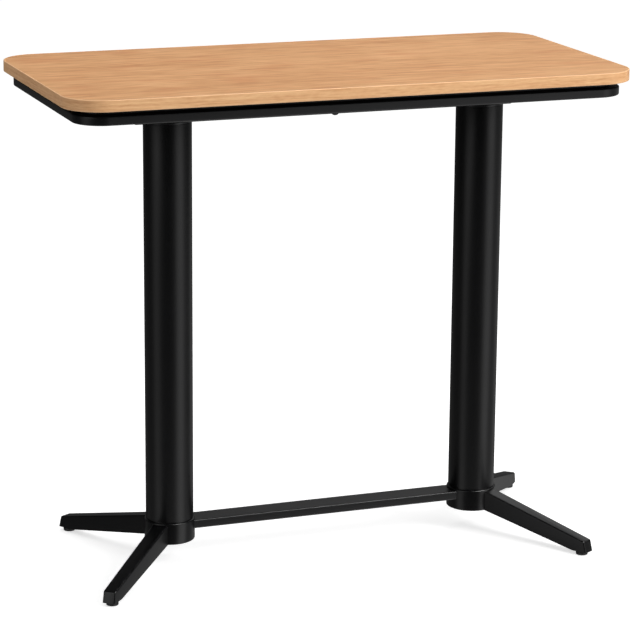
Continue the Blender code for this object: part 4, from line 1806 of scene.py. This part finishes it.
@dataclass
class TieRod:
    """One tie rod through a column, with a nut and a washer at either end.

    The nut's end faces reach out to `nut_face` of half its width across flats. From there its
    chamfers rise by `nut_slope` of their run, out to a radius just past its corners.
    """

    beam: HatBeam
    foot: CastFoot
    radius: float = 0.006
    shank_radius: float = 0.00546
    pitch: float = 0.00175
    end: float = 0.005
    thread_length: float = 0.045
    overlap: float = 0.001
    across: float = 0.019
    nut_height: float = 0.010
    nut_face: float = 0.95
    nut_slope: float = 0.5
    nut_past_corner: float = 1.02
    nut_countersink: float = 0.0005
    washer_radius: float = 0.017
    washer_thickness: float = 0.003
    washer_edge: float = 0.0003
    shank_steps: int = 32
    washer_steps: int = 64
    nut_steps: int = 72

    def build(self, finishes: FinishSet) -> None:
        """Makes the rod, the nuts and the washers.

        Args:
            finishes: The table's materials.
        """
        low_washer = self.foot.cavity_top - SEAT - self.washer_thickness
        low_nut = low_washer - SEAT - self.nut_height
        high_washer = self.beam.low + self.beam.wall + SEAT
        high_nut = high_washer + self.washer_thickness + SEAT
        bottom, top = low_nut - self.end, high_nut + self.nut_height + self.end
        low_thread, high_thread = bottom + self.thread_length, top - self.thread_length
        shank = circle(self.shank_radius, self.shank_steps)
        rod = [
            threaded(self.radius, self.pitch, bottom, low_thread),
            prism(shank, low_thread - self.overlap, high_thread + self.overlap),
            threaded(self.radius, self.pitch, high_thread, top),
        ]
        self._piece("threaded_tie_rod", merged(rod), "tie_rod", finishes)
        for word, washer, nut in (("bottom", low_washer, low_nut), ("top", high_washer, high_nut)):
            self._piece(f"washer_{word}", self._washer(washer), f"rod_washer_{word}", finishes)
            self._piece(f"hexagon_nut_{word}", self._nut(nut), f"rod_nut_{word}", finishes)

    def _piece(self, name: str, mesh: Mesh, node: str, finishes: FinishSet) -> None:
        """Puts one piece on the column's axis.

        Args:
            name: Name of the piece, without its side.
            mesh: Its mesh about the origin's upright axis.
            node: The node that it takes the place of, without its side.
            finishes: The table's materials.
        """
        side = self.foot.side
        make_piece(
            f"{name}_{side.label}",
            moved(mesh, (self.foot.layout.column_x(side), 0.0, 0.0)),
            finishes.zinc,
            stands_for=[f"{node}_{side.label}"],
        )

    def _washer(self, bottom: float) -> Mesh:
        """Makes a punched washer with broken edges.

        Args:
            bottom: Height of its underside.

        Returns:
            A closed ring.
        """
        top, bore = bottom + self.washer_thickness, self.foot.rod_hole
        profile = [(bore, bottom), (self.washer_radius, bottom), (self.washer_radius, top), (bore, top)]
        return turned(eased(profile, self.washer_edge, 2), self.washer_steps, bored=True)

    def _nut(self, bottom: float) -> Mesh:
        """Makes a hexagon nut, chamfered on both faces and countersunk at its bore.

        Args:
            bottom: Height of its underside.

        Returns:
            A closed mesh.
        """
        top, corner, bore = bottom + self.nut_height, self.across / math.sqrt(3), self.foot.rod_hole
        face, outer = self.across / 2 * self.nut_face, corner * self.nut_past_corner
        sink = self.nut_countersink
        rise = (outer - face) * self.nut_slope
        barrel = [(bore + sink, bottom), (face, bottom), (outer, bottom + rise), (outer, top - rise)]
        barrel += [(face, top), (bore + sink, top), (bore, top - sink), (bore, bottom + sink)]
        hexagon = prism(circle(corner, 6), bottom, top)
        return combined(hexagon, [turned(barrel, self.nut_steps, bored=True)], Boolean.SHARED)


@dataclass
class StretcherRail:
    """The flat rail between the hubs, coped to them, with its plugs and bolts."""

    layout: BaseLayout
    foot: CastFoot
    width: float = 0.056
    depth: float = 0.019
    wall: float = 0.002
    edge_radius: float = 0.0040
    edge_steps: int = 6
    cope_steps: int = 24
    drop: float = 0.0045
    bolt: CapScrew = M8_SCREW
    bolt_length: float = 0.034

    @property
    def middle_z(self) -> float:
        """Height of the rail's middle."""
        return self.foot.hub_high - self.drop - self.depth / 2

    def section(self, less: float) -> list[Point2]:
        """Gives the outline of the rail's section.

        Args:
            less: How far it lies inside the rail's outer face.

        Returns:
            Its (y, z) points, with extra ones on the wide faces for the cope.
        """
        radius = self.edge_radius - less
        corners = rounded_rectangle(self.width - 2 * less, self.depth - 2 * less, radius, self.edge_steps)
        points: list[Point2] = []
        for i, start in enumerate(corners):
            end = corners[(i + 1) % len(corners)]
            points.append(start)
            if abs(end[0] - start[0]) > self.width / 2:
                step = (end[0] - start[0]) / self.cope_steps
                points += [(start[0] + step * k, start[1]) for k in range(1, self.cope_steps)]
        return points

    def coped(self, side: Side, less: float) -> list[Point3]:
        """Gives the ring of points where the section meets a hub.

        Args:
            side: The column whose hub it meets.
            less: How far the section lies inside the rail's outer face.

        Returns:
            The ring's points.
        """
        cope = self.foot.hub_radius + SEAT
        x = self.layout.column_x(side)
        ring = []
        for y, z in self.section(less):
            reach = math.sqrt(cope * cope - y * y)
            ring.append((x - side.value * reach, y, self.middle_z + z))
        return ring

    def build(self, finishes: FinishSet) -> None:
        """Makes the rail and its bolts; the plugs stay as modelled.

        Args:
            finishes: The table's materials.
        """
        rings = [self.coped(Side.LEFT, 0.0), self.coped(Side.RIGHT, 0.0)]
        rings += [self.coped(Side.RIGHT, self.wall), self.coped(Side.LEFT, self.wall)]
        rail = loft(rings, closed=True)
        make_piece("flat_tube_rail", rail, finishes.tube_coat, stands_for=["stretcher_rail"])
        inner = self.foot.hub_radius - self.foot.hub_wall - self.foot.cavity_flat - SEAT
        for side in Side:
            dress(f"rail_plug_{side.label}", finishes.iron_coat)
            screw = rotated(self.bolt.mesh(self.bolt_length), -side.value * math.pi / 2, "Y")
            x = self.layout.column_x(side) - side.value * inner
            make_piece(
                f"cap_screw_rail_{side.label}",
                moved(screw, (x, 0.0, self.foot.bolt_z)),
                finishes.zinc,
                stands_for=[f"rail_bolt_{side.label}"],
            )


# Room and camera


@dataclass(frozen=True)
class FloorPaint(Finish):
    """Matt paint on a screeded studio floor.

    To the eye: white towards the camera with the object's shadow on it, and clear from below. To
    the object it is only the pale paint.
    """

    name: str = "pale_studio_floor"
    colour: str = "#EDEDED"
    glow: float = 0.62

    def shader(self, tree: Tree) -> bpy.types.Node:
        """Lays out the paint's nodes.

        Args:
            tree: The material's node tree.

        Returns:
            The shader.
        """
        camera = add_node(tree, "LightPath").outputs["Is Camera Ray"]
        back = add_node(tree, "NewGeometry").outputs["Backfacing"]
        paint = add_node(tree, "BsdfDiffuse", {"Color": linear(self.colour)}).outputs[0]
        glow = add_node(tree, "Emission", {"Color": linear("#FFFFFF"), "Strength": self.glow}).outputs[0]
        lit = add_node(tree, "AddShader", {0: paint, 1: glow}).outputs[0]
        seen = add_node(tree, "MixShader", {0: camera, 1: paint, 2: lit}).outputs[0]
        clear = add_node(tree, "BsdfTransparent").outputs[0]
        return add_node(tree, "MixShader", {0: back, 1: seen, 2: clear})


@dataclass(frozen=True)
class Softbox:
    """A lamp's place, aim, size in metres and power in watts."""

    name: str
    place: Point3
    aim: Point3
    size: Point2
    power: float

    def build(self) -> None:
        """Hangs the lamp. Polished surfaces don't show it: the panels stand for it there."""
        data = bpy.data.lights.new(self.name, "AREA")
        data.energy = self.power
        data.shape = "RECTANGLE"
        data.size, data.size_y = self.size
        lamp = bpy.data.objects.new(self.name, data)
        lamp.location = self.place
        toward = Vector(self.aim) - Vector(self.place)
        lamp.rotation_euler = toward.to_track_quat("-Z", "Y").to_euler()
        lamp.visible_glossy = False
        bpy.context.scene.collection.objects.link(lamp)


@dataclass(frozen=True)
class ReflectedPanel:
    """A panel of the studio as polished surfaces show it.

    Its middle stands at a compass direction, in degrees from +X towards +Y. It is full within the
    inner half width and fades out at the outer one. Upwards it is full as far as the elevation
    `full` and gone at `gone`. Downwards it is full as far as `base` and gone at `foot`; without a
    foot it has no lower edge. All are degrees.
    """

    direction: float
    inner: float
    outer: float
    strength: float
    full: float = 24.0
    gone: float = 37.0
    foot: float | None = None
    base: float = 0.0

    def level(self, tree: Tree, flat: Socket, height: Socket) -> Socket:
        """Gives the panel's strength for a direction.

        Args:
            tree: The world's nodes.
            flat: The direction laid flat on the ground.
            height: The sine of the direction's elevation.

        Returns:
            The socket that carries the strength.
        """
        turn = math.radians(self.direction)
        middle = (math.cos(turn), math.sin(turn), 0.0)
        near = add_node(tree, "VectorMath", {0: flat, 1: middle}, operation="DOT_PRODUCT").outputs["Value"]
        outer, inner = math.cos(math.radians(self.outer)), math.cos(math.radians(self.inner))
        width = span(near, (outer, 0.0), (inner, self.strength))
        level = add_node(tree, "MapRange", width, interpolation_type="SMOOTHSTEP").outputs[0]
        fades = [(self.full, self.gone)]
        if self.foot is not None:
            fades.append((self.base, self.foot))
        for full, gone in fades:
            fade = span(height, (math.sin(math.radians(full)), 1.0), (math.sin(math.radians(gone)), 0.0))
            share = add_node(tree, "MapRange", fade, interpolation_type="SMOOTHSTEP").outputs[0]
            level = add_node(tree, "Math", {0: level, 1: share}, operation="MULTIPLY").outputs[0]
        return level


@dataclass(frozen=True)
class StudioRoom:
    """A plain pale floor, a white surround and soft lamps at a plain level.

    `near_horizon` and `near_nadir` are the sines of the elevations between which the reflected
    surround goes from the ground's level to the walls', and from its level under the object to the
    ground's.
    """

    floor_radius: float = 40.0
    floor_drop: float = 0.0002
    floor_steps: int = 64
    surround: float = 0.45
    dim_walls: float = 0.03
    ground_level: float = 0.11
    ground_below: float = 0.90
    near_horizon: Point2 = (-0.25, 0.05)
    near_nadir: Point2 = (-0.95, -0.50)
    # Direction, inner and outer half width and strength, then the upper and the lower fade
    panels: tuple[ReflectedPanel, ...] = (
        ReflectedPanel(-49.0, 6.0, 26.0, 1.55),
        ReflectedPanel(-10.0, 8.0, 24.0, 0.22),
        ReflectedPanel(-165.0, 7.0, 21.0, 0.64),
        ReflectedPanel(26.0, 10.0, 22.0, 0.30, full=-8.0, gone=2.0),
        ReflectedPanel(69.0, 30.0, 60.0, 0.14, full=33.0, gone=40.0, foot=0.0, base=12.0),
        ReflectedPanel(52.0, 10.0, 26.0, 1.10, full=36.0, gone=42.0, foot=20.0, base=29.0),
        ReflectedPanel(-150.0, 8.0, 20.0, 1.40, full=32.0, gone=40.0, foot=2.0, base=8.0),
        ReflectedPanel(-35.0, 24.0, 50.0, 15.0, full=66.0, gone=76.0, foot=44.0, base=52.0),
    )
    softboxes: tuple[Softbox, ...] = (
        Softbox("key_softbox", place=(3.05, -3.35, 3.1), aim=(0.0, 0.0, 1.0), size=(2.4, 2.4), power=148.0),
        Softbox("top_softbox", place=(0.0, 0.2, 3.6), aim=(0.0, 0.0, 1.0), size=(2.6, 2.6), power=58.0),
    )

    def build(self) -> None:
        """Makes the floor, the world and the lamps."""
        mesh = bmesh.new()
        bmesh.ops.create_circle(mesh, cap_ends=True, segments=self.floor_steps, radius=self.floor_radius)
        data = bpy.data.meshes.new("studio_floor")
        mesh.to_mesh(data)
        mesh.free()
        floor = bpy.data.objects.new("studio_floor", data)
        floor.location.z = -self.floor_drop
        floor.visible_glossy = False
        bpy.context.scene.collection.objects.link(floor)
        data.materials.append(FloorPaint().material())
        self._world()
        for softbox in self.softboxes:
            softbox.build()

    def _world(self) -> None:
        """White to the camera, the studio's panels in reflections, a plain level for its light."""
        world = bpy.data.worlds.new("white_surround")
        bpy.context.scene.world = world
        world.use_nodes = True
        tree = world.node_tree
        tree.nodes.clear()
        path = add_node(tree, "LightPath").outputs
        plain, mirrored = self._plain(tree, path), self._mirrored(tree)
        share = {"Factor": path["Is Glossy Ray"], "A": plain, "B": mirrored}
        strength = add_node(tree, "Mix", share).outputs[0]
        background = add_node(tree, "Background", {"Color": linear("#FFFFFF"), "Strength": strength})
        add_node(tree, "OutputWorld", {"Surface": background.outputs[0]})

    def _plain(self, tree: Tree, path: bpy.types.NodeOutputs) -> Socket:
        """Gives the surround's level where it isn't reflected: white where it is looked at.

        Args:
            tree: The world's nodes.
            path: The Light Path node's outputs.

        Returns:
            The socket that carries the level.
        """
        rays = {0: path["Is Camera Ray"], 1: path["Is Transmission Ray"]}
        looked_at = add_node(tree, "Math", rays, operation="MAXIMUM").outputs[0]
        return add_node(tree, "MapRange", span(looked_at, (0.0, self.surround), (1.0, 1.0))).outputs[0]

    def _mirrored(self, tree: Tree) -> Socket:
        """Gives the surround's level in reflections.

        Args:
            tree: The world's nodes.

        Returns:
            The socket that carries the sum of the ground, the walls and the panels.
        """
        view = add_node(tree, "TexCoord").outputs["Generated"]
        ground = add_node(tree, "VectorMath", {0: view, 1: (1.0, 1.0, 0.0)}, operation="MULTIPLY").outputs[0]
        flat = add_node(tree, "VectorMath", {0: ground}, operation="NORMALIZE").outputs[0]
        height = add_node(tree, "SeparateXYZ", {0: view}).outputs["Z"]
        below, edge = self.near_nadir
        nadir = span(height, (below, self.ground_below - self.ground_level), (edge, 0.0))
        under, above = self.near_horizon
        horizon = span(height, (under, self.ground_level), (above, self.dim_walls))
        levels = [
            add_node(tree, "MapRange", inputs, interpolation_type="SMOOTHSTEP").outputs[0]
            for inputs in (nadir, horizon)
        ]
        levels += [panel.level(tree, flat, height) for panel in self.panels]
        total = levels[0]
        for level in levels[1:]:
            total = add_node(tree, "Math", {0: level, 1: total}, operation="ADD").outputs[0]
        return total


@dataclass(frozen=True)
class PhotoCamera:
    """The camera at the photograph's place, for a square picture of 640 pixels."""

    place: Point3 = (-1.9433, -5.2294, 1.9253)
    yaw: float = math.radians(20.532)
    pitch: float = math.radians(14.378)
    roll: float = math.radians(0.483)
    focal_px: float = 2732.8
    picture_px: float = 640.0
    sensor_mm: float = 36.0

    def build(self) -> None:
        """Makes the camera and puts it to use."""
        level = math.cos(self.pitch)
        forward = Vector((math.sin(self.yaw) * level, math.cos(self.yaw) * level, -math.sin(self.pitch)))
        right = Vector((math.cos(self.yaw), -math.sin(self.yaw), 0.0))
        up = right.cross(forward)
        across = right * math.cos(self.roll) + up * math.sin(self.roll)
        above = up * math.cos(self.roll) - right * math.sin(self.roll)
        data = bpy.data.cameras.new("photo_camera")
        data.sensor_width = self.sensor_mm
        data.lens = self.sensor_mm * self.focal_px / self.picture_px
        camera = bpy.data.objects.new("photo_camera", data)
        turn = Matrix((across, above, -forward)).transposed()
        camera.matrix_world = Matrix.Translation(self.place) @ turn.to_4x4()
        bpy.context.scene.collection.objects.link(camera)
        bpy.context.scene.camera = camera


def main() -> None:
    """Builds the table, the room and the camera."""
    logging.basicConfig(level=logging.INFO, format="%(message)s")
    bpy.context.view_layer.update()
    bpy.context.scene.view_settings.view_transform = "Standard"
    PhotoCamera().build()
    StudioRoom().build()
    finishes = FinishSet()
    layout = BaseLayout()
    top = EdgeBandedTop()
    top.build(finishes)
    tube_frame = TubeFrame(top, layout)
    tube_frame.build(finishes)
    FrameFasteners(tube_frame, layout).build(finishes)
    beam = HatBeam(tube_frame, layout)
    beam.build(finishes)
    for side in Side:
        foot = CastFoot(layout, side)
        foot.build(finishes)
        RoundColumn(beam, foot).build(finishes)
        TieRod(beam, foot).build(finishes)
        for end in End:
            LevellingGlide(layout, side, end).build(finishes)
    StretcherRail(layout, foot).build(finishes)


if __name__ == "__main__":
    main()
